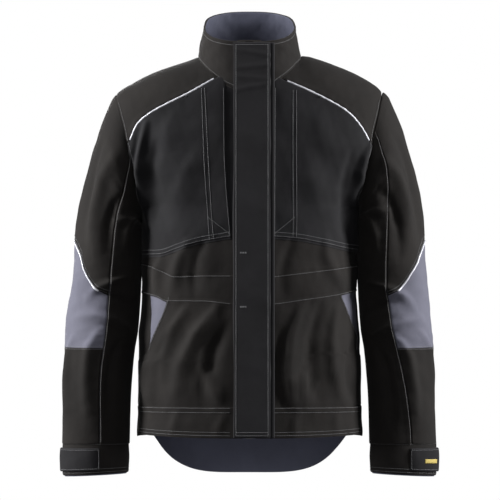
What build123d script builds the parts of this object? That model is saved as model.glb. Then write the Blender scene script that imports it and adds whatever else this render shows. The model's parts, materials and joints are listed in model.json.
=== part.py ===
from build123d import *
import os
from math import atan2, cos, degrees, pi, sin

# A hip-length work jacket of heavy twill, hanging closed.
# Millimetres. +Z is up, the front faces -Y and +X is the wearer's left. The origin is
# the middle of the hang loop, inside the back of the neck.

os.makedirs("parts", exist_ok=True)

# ---------------------------------------------------------------- driving dimensions

CLOTH = 2.5              # shell cloth with its seam allowances
LINING = 1.0             # lining cloth
PROUD = 1.6              # how far piping stands off the shell
GAP = 0.4                # clearance between pieces on different bodies
SEAM_ROOM = 0.3          # room between pieces that meet along a curved seam
MID_Y = -56.0            # middle of the body's depth
FAR = 500.0              # reaches past everything

# Centre front: one straight line, from the collar's top edge down to the hem
TOP_Z = 15.0
TOP_DEPTH = 98.0         # front of the collar's top edge, from the middle of the depth
HEM_Z = -718.0
HEM_DEPTH = 138.0
LEAN = atan2(HEM_DEPTH - TOP_DEPTH, TOP_Z - HEM_Z)

# Body levels: height, half width, how far the front lies behind the straight line, back
BODY_LEVELS = [
    (-8, 92, 40, 62), (-18, 112, 32, 72), (-30, 145, 22, 82), (-44, 182, 12, 91),
    (-58, 212, 5, 99), (-76, 240, 0, 109), (-100, 257, 0, 118), (-140, 260, 0, 128),
    (-200, 250, 0, 136), (-260, 216, 0, 138), (-300, 195, 0, 137), (-430, 196, 0, 133),
    (-515, 202, 0, 134), (-660, 207, 0, 138), (-790, 206, 0, 140),
]
BODY_SQUARENESS = 2.3

# Collar levels: height, half width, back
COLLAR_LEVELS = [(-90, 112, 74), (80, 79, 63)]
COLLAR_SQUARENESS = 2.5
COLLAR_BACK_Z = 70.0     # top edge at the back
COLLAR_BACK_Y = 6.0

# Sleeve sections: inner point x, z; outer point x, z; middle and half of the depth
UPPER_SECTIONS = [
    (198.5, -290, 247.5, -88, 6, 76), (202, -306, 283, -165, 5, 78),
    (204, -324, 303, -245, 3, 76), (204.5, -352, 318, -330, 1, 72),
    (204.5, -400, 325, -400, 0, 69), (205, -450, 329, -450, 0, 67),
]
LOWER_SECTIONS = [
    (205, -450, 329, -450, 0, 67), (209, -515, 336, -515, -4, 65),
    (215, -560, 340.5, -560, -8, 62), (222, -650, 343.5, -650, -14, 56),
    (224, -731, 348, -731, -18, 49),
]
ELBOW_Z = -450.0
SLEEVE_SQUARENESS = 2.1
FOREARM_SPLIT = 8.0      # the forearm's side seams lie this far in front of the middle
PANEL_SLANT = [(270, ELBOW_Z), (319, -361), (335, -332)]   # piped upper edge: x, z
PANEL_BOTTOM_Z = -551.0
PIPING_RISE = 5.0
CUFF_TOP_Z = -731.0
CUFF_BOTTOM_Z = -785.0
CUFF_X = 286.5
CUFF_Y = MID_Y - 18
CUFF_HALF_WIDTH = 63.5
CUFF_HALF_DEPTH = 50.0
CUFF_WALL = 5.0

# Cuff tab and its hook-and-loop pads
TAB_SEWN_X = 302.0
TAB_END_Y = CUFF_Y + 24
TAB_TOP_Z = -738.0
TAB_BOTTOM_Z = -778.0
PAD = 1.0                # hook or loop tape
PAD_MARGIN = 6.0
TAG_Z = (-764, -757)
TAG_START = 24.0         # from the tab's seam
TAG_CLOTH = 0.8

# Seams of the left front, seen from the front: x, z
EDGE_X = 8.0             # front edge beside the zip
STRIP_X = 44.0           # centre strip to chest pocket mouth
MOUTH = 6.0              # chest pocket mouth
YOKE_SEAM = [(46, -46), (112, -78), (184, -115), (262, -205)]
POCKET_HEM = [(EDGE_X, -337), (79, -340), (153, -364), (300, -373)]
WAIST_SEAM = [(EDGE_X, -468), (150, -462), (300, -447)]
HAND_MOUTH = [(150, -462), (166, -500), (190, -560), (300, -590)]
BAND_Z = -660.0
TAIL_Z = -783.0
TAIL_TURN_Z = BAND_Z - 40        # where the dropped back hem leaves the side
TAIL_HALF = 207.0

# Armhole plane
SHOULDER = (247.5, -88)
UNDERARM = (198.5, -290)

HEM_ROUND = (16, 12)     # how far the front hem rises at its side and at its turn
ROOM = 0.1               # room between layers that lie on each other

# Pockets: x and z of each bag, its depth behind the front and its cloth
POCKET_DEPTH = 20.0
BAG = 1.5
BAG_WALL = 2.0
CHEST_BAG = (34, 176, -332, -150)
HAND_BAG = (62, 182, -640, -470)
HAND_BAG_INNER = (150, -470)     # corner where the mouth starts
FACING_INNER = 152.0
FACING_BOTTOM = -600.0

# Storm flap
FLAP_FREE_X = -30.0
FLAP_SEWN_X = 39.0
FLAP_LIFT = 4.5
FLAP_CLOTH = 2.5
FLAP_PAD_COUNT = 6
FLAP_PAD_X = (-28, -12)
FLAP_PAD_LENGTH = 44.0
FLAP_PAD_MARGIN = 50.0   # from either end of the flap to the middle of a pad
STRIP_WIDTH = 6.0

# Zip, measured along the front line from the collar's top edge
ZIP_LENGTH = 734.0
TOOTH_PITCH = 5.0
SLIDER_LENGTH = 12.0
SLIDER_TOP = -2.0
PULL_LENGTH = 20.0
TAPE_EDGE = 2.5          # zip tape: inner and outer edge, back and front face
TAPE_OUTER = 18.0
TAPE_BACK = -4.6
TAPE_FRONT = -3.6
TOOTH_LENGTH = 2.0
TOOTH_SPAN = (0.9, 2.4)  # a tooth's reach from the middle, and its back and front
TOOTH_BACK = -5.5
TOOTH_FRONT = -2.6
BOX_HEIGHT = 10.0
BOX_HALF = 6.0
GUARD_EDGES = (-16, 20)
GUARD_BACK = -10.5
GUARD_FRONT = -8.5
SLIDER_HALF = 5.5
SLIDER_FRONT = (-2.2, -0.8)
SLIDER_BACK = (-7.3, -5.9)
SLIDER_RIM = (4.6, -3.2, -5.0)   # inner face, reach of the front rim and of the back rim
CROWN_TOP = 2.6
CROWN_BAR = 0.9
PULL_HALF = 3.0
PULL_ARM = 1.4
PULL_THICK = 1.2
PIVOT_DROP = 6.0         # from the slider's top to the pull's pivot
PIVOT_W = 0.6

# Hang loop
LOOP_HALF = 30.0
LOOP_HALF_WIDTH = 5.0
LOOP_STRAP = 1.6
LOOP_END = 6.0

# ---------------------------------------------------------------- shared shapes


def signed_power(value, power):
    return abs(value) ** power * (1 if value >= 0 else -1)


def oval(x, y, half_width, front, back, z, squareness, count=24):
    """Closed level outline, squarer than an ellipse."""
    points = []
    for step in range(count):
        turn = 2 * pi * step / count
        depth = back if sin(turn) > 0 else front
        points.append(Vector(
            x + half_width * signed_power(cos(turn), 2 / squareness),
            y + depth * signed_power(sin(turn), 2 / squareness),
            z))
    return Wire([Edge.make_spline(points, periodic=True)])


def front_depth(z):
    return TOP_DEPTH + (TOP_Z - z) * (HEM_DEPTH - TOP_DEPTH) / (TOP_Z - HEM_Z)


BODY_CACHE = {}


def body(inset):
    """Solid of the body, shrunk by inset."""
    if inset not in BODY_CACHE:
        rings = []
        for z, half_width, recede, back in BODY_LEVELS:
            rings.append(oval(
                0, MID_Y, half_width - inset, front_depth(z) - recede - inset,
                back - inset, z - inset, BODY_SQUARENESS))
        BODY_CACHE[inset] = Solid.make_loft(rings, True)
    return BODY_CACHE[inset]


def layer(outside, inside):
    """Layer of the body between two insets."""
    return body(outside) - body(inside)


def collar_tube(inset):
    rings = []
    for z, half_width, back in COLLAR_LEVELS:
        rings.append(oval(
            0, MID_Y, half_width - inset, front_depth(z) - inset, back - inset, z,
            COLLAR_SQUARENESS))
    return Solid.make_loft(rings, True)


def seen(points, y_from, y_to):
    """Prism of an outline in x and z, between two depths."""
    outline = Wire.make_polygon([Vector(x, y_from, z) for x, z in points], close=True)
    return extrude(Face(outline), amount=y_to - y_from, dir=(0, 1, 0))


def block(x0, x1, y0, y1, z0, z1):
    return Pos((x0 + x1) / 2, (y0 + y1) / 2, (z0 + z1) / 2) * Box(x1 - x0, y1 - y0, z1 - z0)


# Flat pieces of the centre front: u is x, v runs up the front line, w is outward
FRONT = Plane(
    origin=(0, MID_Y - TOP_DEPTH, TOP_Z), x_dir=(1, 0, 0), z_dir=(0, -cos(LEAN), sin(LEAN)))


def plate(u0, u1, v0, v1, w0, w1):
    box = Pos((u0 + u1) / 2, (v0 + v1) / 2, (w0 + w1) / 2) * Box(u1 - u0, v1 - v0, w1 - w0)
    return FRONT.location * box


def front_half(points):
    return seen(points, -FAR, MID_Y)


ARMHOLE_SLOPE = (SHOULDER[0] - UNDERARM[0]) / (SHOULDER[1] - UNDERARM[1])


def armhole_x(z):
    return UNDERARM[0] + (z - UNDERARM[1]) * ARMHOLE_SLOPE


def arm_side():
    """Everything beyond the left armhole."""
    bottom = UNDERARM[1] - 20
    return seen(
        [(armhole_x(0) - GAP, 0), (FAR, 0), (FAR, bottom), (UNDERARM[0] - GAP, bottom),
         (UNDERARM[0] - GAP, UNDERARM[1])], -FAR, FAR)


def both_sides(name, shape, nodes):
    nodes["left_" + name] = shape
    nodes["right_" + name] = shape.mirror(Plane.YZ)


# ---------------------------------------------------------------- body


def neck_hole():
    """The hole in the shell that the collar stands in, with a hair of room."""
    return collar_tube(-SEAM_ROOM)


def make_fronts(nodes):
    """Panels of the left front, each cut from the shell by its own seams."""
    shell = layer(0, CLOTH) - neck_hole() - arm_side()
    yoke_down = list(reversed(YOKE_SEAM))
    regions = {
        "front_yoke": YOKE_SEAM + [(300, 0), (46, 0)],
        "center_strip": [(EDGE_X, 0), (STRIP_X, 0), (STRIP_X, POCKET_HEM[0][1]),
                         (EDGE_X, POCKET_HEM[0][1])],
        "waist_panel": POCKET_HEM + list(reversed(WAIST_SEAM)),
        "hem_band": [(EDGE_X, BAND_Z), (300, BAND_Z), (300, HEM_Z + HEM_ROUND[0]),
                     (190, HEM_Z + HEM_ROUND[1]), (150, HEM_Z), (EDGE_X, HEM_Z)],
    }
    chest_left = STRIP_X + MOUTH
    chest = [(chest_left, YOKE_SEAM[0][1] - 3)] + YOKE_SEAM[1:] + list(reversed(POCKET_HEM[1:]))
    regions["chest_panel"] = chest + [(chest_left, POCKET_HEM[1][1] + 3)]
    regions["lower_front"] = (
        [WAIST_SEAM[0]] + HAND_MOUTH + [(300, BAND_Z), (EDGE_X, BAND_Z)])
    for name in ("front_yoke", "center_strip", "chest_panel", "waist_panel", "lower_front",
                 "hem_band"):
        both_sides(name, keep_largest(shell & front_half(regions[name])), nodes)
    piping_region = YOKE_SEAM + [(x, z - 3.5) for x, z in yoke_down]
    piping = (layer(-PROUD, 0) & front_half(piping_region)) - arm_side() - neck_hole()
    piping = piping - collar_tube(-PROUD)
    both_sides("yoke_piping", keep_largest(piping), nodes)


def keep_largest(shape):
    """The main solid, without slivers left where surfaces meet."""
    return max(shape.solids(), key=lambda solid: solid.volume)


def make_pockets(nodes):
    """Chest and hand pocket bags, and the light facing inside the hand pocket's mouth."""
    bag_back = layer(POCKET_DEPTH, POCKET_DEPTH + BAG)
    walls = layer(CLOTH + ROOM, POCKET_DEPTH)
    x0, x1, z0, z1 = CHEST_BAG
    chest_walls = [(x0, x0 + BAG_WALL, z0, z1), (x1 - BAG_WALL, x1, z0, z1),
                   (x0, x1, z0, z0 + BAG_WALL)]
    chest = tray(bag_back, walls, [(x0, z1), (x1, z1), (x1, z0), (x0, z0)], chest_walls)
    both_sides("chest_pocket_bag", chest, nodes)
    x0, x1, z0, z1 = HAND_BAG
    mouth_z = HAND_MOUTH[2][1]
    outline = [(x0, z1), HAND_BAG_INNER, (x1, mouth_z), (x1, z0), (x0, z0)]
    hand_walls = [(x0, x0 + BAG_WALL, z0, z1), (x0, x1, z0, z0 + BAG_WALL)]
    both_sides("hand_pocket_bag", tray(bag_back, walls, outline, hand_walls), nodes)
    facing_region = [
        (FACING_INNER, WAIST_SEAM[1][1] - 2), (300, WAIST_SEAM[2][1] - 2), (300, FACING_BOTTOM),
        (x1 + 1, FACING_BOTTOM), (x1 + 1, mouth_z), (FACING_INNER, z1)]
    facing = bag_back & front_half(facing_region)
    side_wall = block(HAND_BAG_INNER[0], 300, MID_Y - CLOTH, MID_Y, mouth_z + 1, z1 + 10)
    rim = layer(0, POCKET_DEPTH + BAG) & side_wall
    both_sides("hand_pocket_facing", keep_largest(facing + rim), nodes)


def tray(back, walls, outline, strips):
    """A pocket bag: its back and the walls that close it against the front."""
    bag = back & front_half(outline)
    for x0, x1, z0, z1 in strips:
        bag = bag + (walls & front_half([(x0, z0), (x1, z0), (x1, z1), (x0, z1)]))
    return keep_largest(bag)


def make_back(nodes):
    shell = layer(0, CLOTH) - neck_hole() - arm_side() - arm_side().mirror(Plane.YZ)
    behind = block(-FAR, FAR, MID_Y, FAR, BAND_Z, 0)
    nodes["back_panel"] = keep_largest(shell & behind)
    tail = tail_outline(0)
    nodes["back_tail"] = keep_largest(layer(0, CLOTH) & tail)
    lined = layer(CLOTH + ROOM, CLOTH + ROOM + LINING) - neck_hole()
    lined = lined - block(-FAR, FAR, -FAR, FAR, -150, 20)
    reach = block(-185, 185, MID_Y + 8, FAR, BAND_Z - 10, -150) + tail_outline(6)
    nodes["back_lining"] = keep_largest(lined & reach)


def tail_outline(inset):
    """Region of the dropped back hem, rounded at both corners."""
    half = TAIL_HALF - inset * 4
    bottom = TAIL_Z + inset
    curve = Spline((half, TAIL_TURN_Z), (150, bottom + 22), (0, bottom), (-150, bottom + 22),
                   (-half, TAIL_TURN_Z))
    top = Polyline((-half, TAIL_TURN_Z), (-half, BAND_Z), (half, BAND_Z), (half, TAIL_TURN_Z))
    face = Face(Wire([curve.edge()] + list(top.edges())))
    standing = Plane.XZ.location * face
    return Pos(0, MID_Y, 0) * extrude(standing, amount=FAR, dir=(0, 1, 0))


def make_collar(nodes):
    """Stand-up collar, open at the centre front for the zip."""
    rim_y = MID_Y - TOP_DEPTH
    slope = (COLLAR_BACK_Z - TOP_Z) / (COLLAR_BACK_Y - rim_y)
    rim_cut = seen_from_side(
        [(rim_y - 100, TOP_Z - 100 * slope), (COLLAR_BACK_Y + 100, COLLAR_BACK_Z + 100 * slope),
         (COLLAR_BACK_Y + 100, FAR), (rim_y - 100, FAR)])
    slot = plate(-EDGE_X, EDGE_X, -120, 60, -40, 20)
    lining_slot = plate(-22, 22, -120, 60, -40, 20)
    base = body(0) + block(-FAR, FAR, -FAR, FAR, -FAR, -76)
    outer = collar_tube(0) - collar_tube(CLOTH) - rim_cut - base - slot
    lining = collar_tube(CLOTH + ROOM) - collar_tube(CLOTH + ROOM + LINING)
    lining = lining - rim_cut - base - lining_slot
    nodes["collar_outer"] = keep_largest(outer)
    nodes["collar_lining"] = keep_largest(lining)
    face = LOOP_STRAP / 2
    inner = LOOP_HALF - LOOP_END
    tall = LOOP_HALF_WIDTH
    strap = block(-LOOP_HALF, LOOP_HALF, -face, face, -tall, tall)
    ends = block(-LOOP_HALF, -inner, face, 14, -tall, tall)
    ends = ends + block(inner, LOOP_HALF, face, 14, -tall, tall)
    inside = collar_tube(CLOTH + ROOM + LINING)
    nodes["hang_loop"] = (strap + (ends & inside)).solids()[0]


def seen_from_side(points):
    outline = Wire.make_polygon([Vector(-FAR, y, z) for y, z in points], close=True)
    return extrude(Face(outline), amount=2 * FAR, dir=(1, 0, 0))


# ---------------------------------------------------------------- zip and storm flap


def make_zip(nodes):
    """Tapes, two rows of teeth, the end stops with the bottom box, and the guard behind."""
    bottom = -ZIP_LENGTH
    tape = plate(TAPE_EDGE, TAPE_OUTER, bottom + 2, -1, TAPE_BACK, TAPE_FRONT)
    both_sides("zip_tape", tape, nodes)
    teeth = []
    tooth_count = int((ZIP_LENGTH - 26) / TOOTH_PITCH)
    for row in range(tooth_count):
        v = SLIDER_TOP - 4 - row * TOOTH_PITCH
        for side in (-1, 1):
            shift = 0 if side > 0 else TOOTH_PITCH / 2
            u = sorted(side * reach for reach in TOOTH_SPAN)
            teeth.append(plate(
                u[0], u[1], v - shift - TOOTH_LENGTH, v - shift, TOOTH_BACK, TOOTH_FRONT))
    nodes["zip_teeth"] = Compound(children=teeth)
    stops = []
    for side in (-1, 1):
        middle = side * 3.6
        stops.append(plate(middle - 1, middle + 1, -1.5, -0.2, TAPE_FRONT, TAPE_FRONT + 1.2))
    box = plate(-BOX_HALF, BOX_HALF, bottom, bottom + BOX_HEIGHT, TAPE_BACK - 2, TAPE_FRONT + 1.8)
    for u0, u1 in ((-BOX_HALF, -TAPE_EDGE), (TAPE_EDGE, BOX_HALF)):
        box = box - plate(u0, u1, bottom + 2, bottom + BOX_HEIGHT + 1, TAPE_BACK - 0.05,
                          TAPE_FRONT + 0.05)
    nodes["zip_end_stops"] = Compound(children=stops + [box])
    low = bottom + 14
    u0, u1 = GUARD_EDGES
    guard = plate(u0, u1, low, -3, GUARD_BACK, GUARD_FRONT)
    nodes["zip_guard"] = guard + plate(u1 - 2, u1, low, -3, GUARD_FRONT, TAPE_BACK - ROOM)


def make_slider(nodes):
    """Slider with a back plate, a front plate, rims and a crown, and its pull."""
    top = SLIDER_TOP
    low = top - SLIDER_LENGTH
    half = SLIDER_HALF
    rim_u, rim_front, rim_back = SLIDER_RIM
    face_w, face_top = SLIDER_FRONT
    shape = plate(-half, half, low, top, face_w, face_top)
    shape = shape + plate(-half, half, low, top, SLIDER_BACK[0], SLIDER_BACK[1])
    shape = shape + plate(-0.5, 0.5, top - 2, top, SLIDER_BACK[1], face_w)
    for side in (-1, 1):
        u = sorted((side * rim_u, side * half))
        shape = shape + plate(u[0], u[1], low, top, rim_front, face_w)
        shape = shape + plate(u[0], u[1], low, top, SLIDER_BACK[1], rim_back)
    crown_low = low + 1
    crown_high = top - 2
    crown = plate(-1, 1, crown_low, crown_low + 1.5, face_top, CROWN_TOP)
    crown = crown + plate(-1, 1, crown_high - 1.5, crown_high, face_top, CROWN_TOP)
    crown = crown + plate(-1, 1, crown_low, crown_high, CROWN_TOP - CROWN_BAR, CROWN_TOP)
    nodes["zip_slider"] = (shape + crown).solids()[0]
    pivot = top - PIVOT_DROP
    turn = Pos(0, pivot, PIVOT_W) * Rot(0, 90, 0)
    pull = FRONT.location * turn * Cylinder(PULL_THICK / 2, 2 * PULL_HALF)
    for u0, u1 in ((PULL_HALF - PULL_ARM, PULL_HALF), (-PULL_HALF, PULL_ARM - PULL_HALF)):
        pull = pull + plate(u0, u1, pivot - 8, pivot, 0, PULL_THICK)
    pull = pull + plate(-PULL_HALF, PULL_HALF, pivot - PULL_LENGTH, pivot - 7, 0, PULL_THICK)
    nodes["zip_pull"] = pull.solids()[0]


def make_flap(nodes):
    """Storm flap over the zip, its sewn strip, and the hook and loop pads."""
    face = FLAP_LIFT + FLAP_CLOTH
    sewn = FLAP_SEWN_X + GAP
    nodes["storm_flap"] = plate(FLAP_FREE_X, FLAP_SEWN_X, -ZIP_LENGTH, 0, FLAP_LIFT, face)
    strip = plate(sewn, FLAP_SEWN_X + STRIP_WIDTH, -ZIP_LENGTH, 0, -12, face)
    nodes["flap_seam_strip"] = keep_largest(strip - body(-ROOM) - neck_hole())
    hooks = []
    loops = []
    u0, u1 = FLAP_PAD_X
    half = FLAP_PAD_LENGTH / 2
    loop_front = FLAP_LIFT - 2.3
    pitch = (ZIP_LENGTH - 2 * FLAP_PAD_MARGIN) / (FLAP_PAD_COUNT - 1)
    for pad in range(FLAP_PAD_COUNT):
        v = -FLAP_PAD_MARGIN - pad * pitch
        hooks.append(plate(u0, u1, v - half, v + half, loop_front + GAP, FLAP_LIFT))
        loops.append(plate(u0, u1, v - half, v + half, -3, loop_front) - body(-ROOM) - neck_hole())
    nodes["flap_hook_pads"] = Compound(children=hooks)
    nodes["flap_loop_pads"] = Compound(children=[keep_largest(pad) for pad in loops])


# ---------------------------------------------------------------- sleeves


def tilted_oval(section, inset):
    """Sleeve section across the arm, from its inner point to its outer point."""
    x0, z0, x1, z1, middle, half_depth = section
    span = Vector(x1 - x0, 0, z1 - z0)
    centre = Vector((x0 + x1) / 2, MID_Y + middle, (z0 + z1) / 2)
    across = span.normalized()
    plane = Plane(origin=centre, x_dir=across, z_dir=across.cross(Vector(0, 1, 0)))
    wire = oval(0, 0, span.length / 2 - inset, half_depth - inset, half_depth - inset, 0,
                SLEEVE_SQUARENESS, 20)
    return plane.location * wire


def arm(sections, inset):
    """Solid of the arm, one ruled stretch after another."""
    rings = [tilted_oval(section, inset) for section in sections]
    stretches = [Solid.make_loft(pair, True) for pair in zip(rings, rings[1:])]
    return stretches[0].fuse(*stretches[1:])


def tube(sections, outside, inside):
    return arm(sections, outside) - arm(sections, inside)


def moved_sections(sections, first_shift, last_shift):
    """The sections with a clearance taken at the armhole and along the elbow plane."""
    result = [list(section) for section in sections]
    result[0][0] += first_shift
    result[0][2] += first_shift
    result[-1][1] += last_shift
    result[-1][3] += last_shift
    return result


def make_sleeve(nodes):
    half_gap = GAP / 2
    upper_sections = moved_sections(UPPER_SECTIONS, half_gap, half_gap)
    lower_sections = [list(section) for section in LOWER_SECTIONS]
    lower_sections[0][1] -= half_gap
    lower_sections[0][3] -= half_gap
    upper = tube(upper_sections, 0, CLOTH)
    lower = tube(lower_sections, 0, CLOTH)
    slant = PANEL_SLANT
    panel_top = seen(slant + [(FAR, slant[-1][1]), (FAR, ELBOW_Z)], -FAR, FAR)
    panel_low = seen([slant[0], (FAR, ELBOW_Z), (FAR, PANEL_BOTTOM_Z),
                      (slant[0][0] - 2, PANEL_BOTTOM_Z)], -FAR, FAR)
    front = block(0, FAR, -FAR, MID_Y, -FAR * 2, FAR)
    back = block(0, FAR, MID_Y, FAR, -FAR * 2, FAR)
    lower_front_y = block(0, FAR, -FAR, MID_Y - FOREARM_SPLIT, -FAR * 2, FAR)
    lower_back_y = block(0, FAR, MID_Y - FOREARM_SPLIT, FAR, -FAR * 2, FAR)
    both_sides("upper_sleeve_front", keep_largest((upper - panel_top) & front), nodes)
    both_sides("upper_sleeve_back", keep_largest((upper - panel_top) & back), nodes)
    both_sides("elbow_panel_top", keep_largest(upper & panel_top), nodes)
    both_sides("forearm_front", keep_largest((lower - panel_low) & lower_front_y), nodes)
    both_sides("forearm_back", keep_largest((lower - panel_low) & lower_back_y), nodes)
    both_sides("elbow_panel_bottom", keep_largest(lower & panel_low), nodes)
    cord = seen(slant + [(x, z + PIPING_RISE) for x, z in reversed(slant)], -FAR, FAR)
    cord = cord - block(0, FAR, -FAR, FAR, -FAR * 2, ELBOW_Z + 2)
    piping = tube(upper_sections, -PROUD, 0) & cord
    both_sides("elbow_piping", keep_largest(piping), nodes)


def cuff_ring(outside, inside, z0, z1):
    """Band around the cuff between two distances outside its wall."""
    solids = []
    for reach in (outside, inside):
        wire = oval(
            CUFF_X, CUFF_Y, CUFF_HALF_WIDTH + reach, CUFF_HALF_DEPTH + reach,
            CUFF_HALF_DEPTH + reach, z0, SLEEVE_SQUARENESS)
        solids.append(extrude(Face(wire), amount=z1 - z0, dir=(0, 0, 1)))
    return solids[0] - solids[1]


def make_cuff(nodes):
    cuff = cuff_ring(0, -CUFF_WALL, CUFF_BOTTOM_Z, CUFF_TOP_Z)
    both_sides("cuff", keep_largest(cuff), nodes)
    around = block(TAB_SEWN_X, FAR, -FAR, TAB_END_Y, -FAR * 2, FAR)
    pad_area = block(TAB_SEWN_X + 2 * PAD_MARGIN, FAR, -FAR, TAB_END_Y - PAD_MARGIN, -FAR * 2, FAR)
    pad_top = TAB_TOP_Z - PAD_MARGIN
    pad_bottom = TAB_BOTTOM_Z + PAD_MARGIN
    loop = cuff_ring(PAD, 0, pad_bottom, pad_top) & pad_area
    hook = cuff_ring(2 * PAD + GAP, PAD + GAP, pad_bottom, pad_top) & pad_area
    inner = 2 * PAD + GAP
    tab = cuff_ring(inner + CLOTH, inner, TAB_BOTTOM_Z, TAB_TOP_Z) & around
    both_sides("cuff_loop_pad", keep_largest(loop), nodes)
    both_sides("tab_hook_pad", keep_largest(hook), nodes)
    both_sides("cuff_tab", keep_largest(tab), nodes)
    tag_area = block(TAB_SEWN_X + TAG_START, FAR, -FAR, CUFF_Y - 8, -FAR * 2, FAR)
    face = inner + CLOTH
    tag = cuff_ring(face + TAG_CLOTH, face, TAG_Z[0], TAG_Z[1]) & tag_area
    nodes["blank_tag"] = keep_largest(tag)


def main():
    nodes = {}
    make_fronts(nodes)
    make_pockets(nodes)
    make_back(nodes)
    make_collar(nodes)
    make_zip(nodes)
    make_slider(nodes)
    make_flap(nodes)
    make_sleeve(nodes)
    make_cuff(nodes)
    for name, shape in nodes.items():
        export_step(shape, "parts/" + name + ".step")
    print(len(nodes), "nodes, lean", round(degrees(LEAN), 3))
    pivot = FRONT.location * Pos(FLAP_SEWN_X + GAP / 2, 0, FLAP_LIFT + FLAP_CLOTH)
    print("flap axis through", pivot.position)
    pull = FRONT.location * Pos(0, SLIDER_TOP - PIVOT_DROP, PIVOT_W)
    print("pull axis through", pull.position)


main()
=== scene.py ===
import json
import math

import bmesh
import bpy
import numpy as np
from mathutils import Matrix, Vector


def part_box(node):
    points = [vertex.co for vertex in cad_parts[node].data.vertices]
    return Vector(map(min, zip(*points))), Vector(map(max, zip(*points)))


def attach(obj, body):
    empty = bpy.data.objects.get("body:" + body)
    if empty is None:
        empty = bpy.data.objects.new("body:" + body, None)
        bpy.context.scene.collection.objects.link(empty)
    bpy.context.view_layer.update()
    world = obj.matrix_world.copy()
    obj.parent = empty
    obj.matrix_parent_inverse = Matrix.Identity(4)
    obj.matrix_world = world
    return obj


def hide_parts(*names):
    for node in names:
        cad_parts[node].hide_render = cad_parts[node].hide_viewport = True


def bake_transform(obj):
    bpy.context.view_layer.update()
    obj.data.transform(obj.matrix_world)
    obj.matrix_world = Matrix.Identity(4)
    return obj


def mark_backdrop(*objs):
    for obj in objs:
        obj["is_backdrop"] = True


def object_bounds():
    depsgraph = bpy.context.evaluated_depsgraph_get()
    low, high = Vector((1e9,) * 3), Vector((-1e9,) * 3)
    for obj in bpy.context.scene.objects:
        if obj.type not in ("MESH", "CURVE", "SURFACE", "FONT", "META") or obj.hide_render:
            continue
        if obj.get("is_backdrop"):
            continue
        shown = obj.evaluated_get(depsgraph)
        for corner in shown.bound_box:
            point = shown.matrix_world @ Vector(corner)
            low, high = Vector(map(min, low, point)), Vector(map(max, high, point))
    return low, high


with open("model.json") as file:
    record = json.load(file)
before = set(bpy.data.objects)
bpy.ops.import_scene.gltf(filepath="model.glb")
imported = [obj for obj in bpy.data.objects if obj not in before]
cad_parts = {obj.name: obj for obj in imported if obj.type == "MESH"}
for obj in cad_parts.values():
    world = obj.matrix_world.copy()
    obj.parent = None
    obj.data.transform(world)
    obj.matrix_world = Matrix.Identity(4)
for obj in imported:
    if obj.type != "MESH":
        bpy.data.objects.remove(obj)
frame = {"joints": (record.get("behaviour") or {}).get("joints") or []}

# Work jacket of heavy twill. Metres, +Z up, front towards -Y, +X the wearer's left.
# Every panel is a patch of one body surface or of a sleeve surface, with the folds, seam
# grooves and laps in that surface, so panels, piping and stitches all lie on each other.

CAD_LOW, CAD_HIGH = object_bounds()
JOINTS = {joint["name"]: joint for joint in frame["joints"]}
MM = 0.001
SIDES = ((-1, "right"), (1, "left"))  # the wearer's

# ---------------------------------------------------------------- measures from the frame

FLAP_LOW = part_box("storm_flap")[0]
BAND_LOW, BAND_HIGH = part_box("left_hem_band")
TAIL_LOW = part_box("back_tail")[0]
CUFF_LOW, CUFF_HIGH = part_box("left_cuff")
TAB_LOW, TAB_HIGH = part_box("left_cuff_tab")
TAG_LOW, TAG_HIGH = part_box("blank_tag")
LOOP_LOW, LOOP_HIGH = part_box("hang_loop")
SHOULDER_X, MID_Y, SHOULDER_Z = JOINTS["left_shoulder"]["pos_m"]
ELBOW_Z = JOINTS["left_elbow"]["pos_m"][2]
FLAP_HINGE_X = JOINTS["flap_swing"]["pos_m"][0]
LEAN = math.atan2(JOINTS["flap_swing"]["axis"][1], JOINTS["flap_swing"]["axis"][2])
HEM_Z = BAND_LOW[2]
BAND_Z = BAND_HIGH[2]
TAIL_Z = TAIL_LOW[2]
TOP_Z = 0.015
TOP_DEPTH = 0.098                     # collar front from the middle of the depth

CLOTH = 1.5 * MM
SQUARE = 2.3                          # squareness of the body's level sections
COLLAR_SQUARE = 2.5
SLEEVE_SQUARE = 2.1
UNDERARM_X, UNDERARM_Z = 198.5 * MM, -290 * MM
UNDERARM = np.array([UNDERARM_X, MID_Y, UNDERARM_Z])
SHOULDER = np.array([SHOULDER_X, MID_Y, SHOULDER_Z])
FRONT_EDGE = 12 * MM                  # |x| at which the front panels start, under the flap
PANEL_LAP = 7 * MM                    # how far a panel runs on under the next one

# Body levels in mm: height, half width, front behind the straight line, back
BODY_LEVELS = np.array([
    (-2, 78, 47, 50), (-8, 92, 40, 62), (-18, 112, 32, 72), (-30, 145, 22, 82),
    (-44, 182, 12, 91), (-58, 212, 5, 99), (-76, 240, 0, 109), (-100, 257, 0, 118),
    (-140, 260, 0, 128), (-200, 250, 0, 136), (-260, 218, 0, 138), (-290, 200, 0, 137),
    (-320, 200, 0, 137), (-350, 200, 0, 135), (-430, 201.5, 0, 133), (-515, 206, 0, 134),
    (-560, 208, 0, 135), (-660, 209, 0, 138), (-790, 207, 0, 140),
]) * MM

# Sleeve sections in mm: inner x, z; outer x, z; middle and half of the depth
SLEEVE_SECTIONS = np.array([
    (198.9, -290, 247.9, -88, 6, 76), (200, -306, 283, -165, 5, 78),
    (200.4, -324, 303, -245, 3, 76), (200.4, -352, 319, -330, 1, 72),
    (201.5, -400, 327, -400, 0, 69), (203.5, -450, 332, -450, 0, 67),
    (208, -515, 338.5, -515, -4, 65), (215, -560, 342.5, -560, -8, 62),
    (222, -650, 345.5, -650, -14, 56), (224, -731, 348.5, -731, -18, 50.5),
]) * MM


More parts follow.
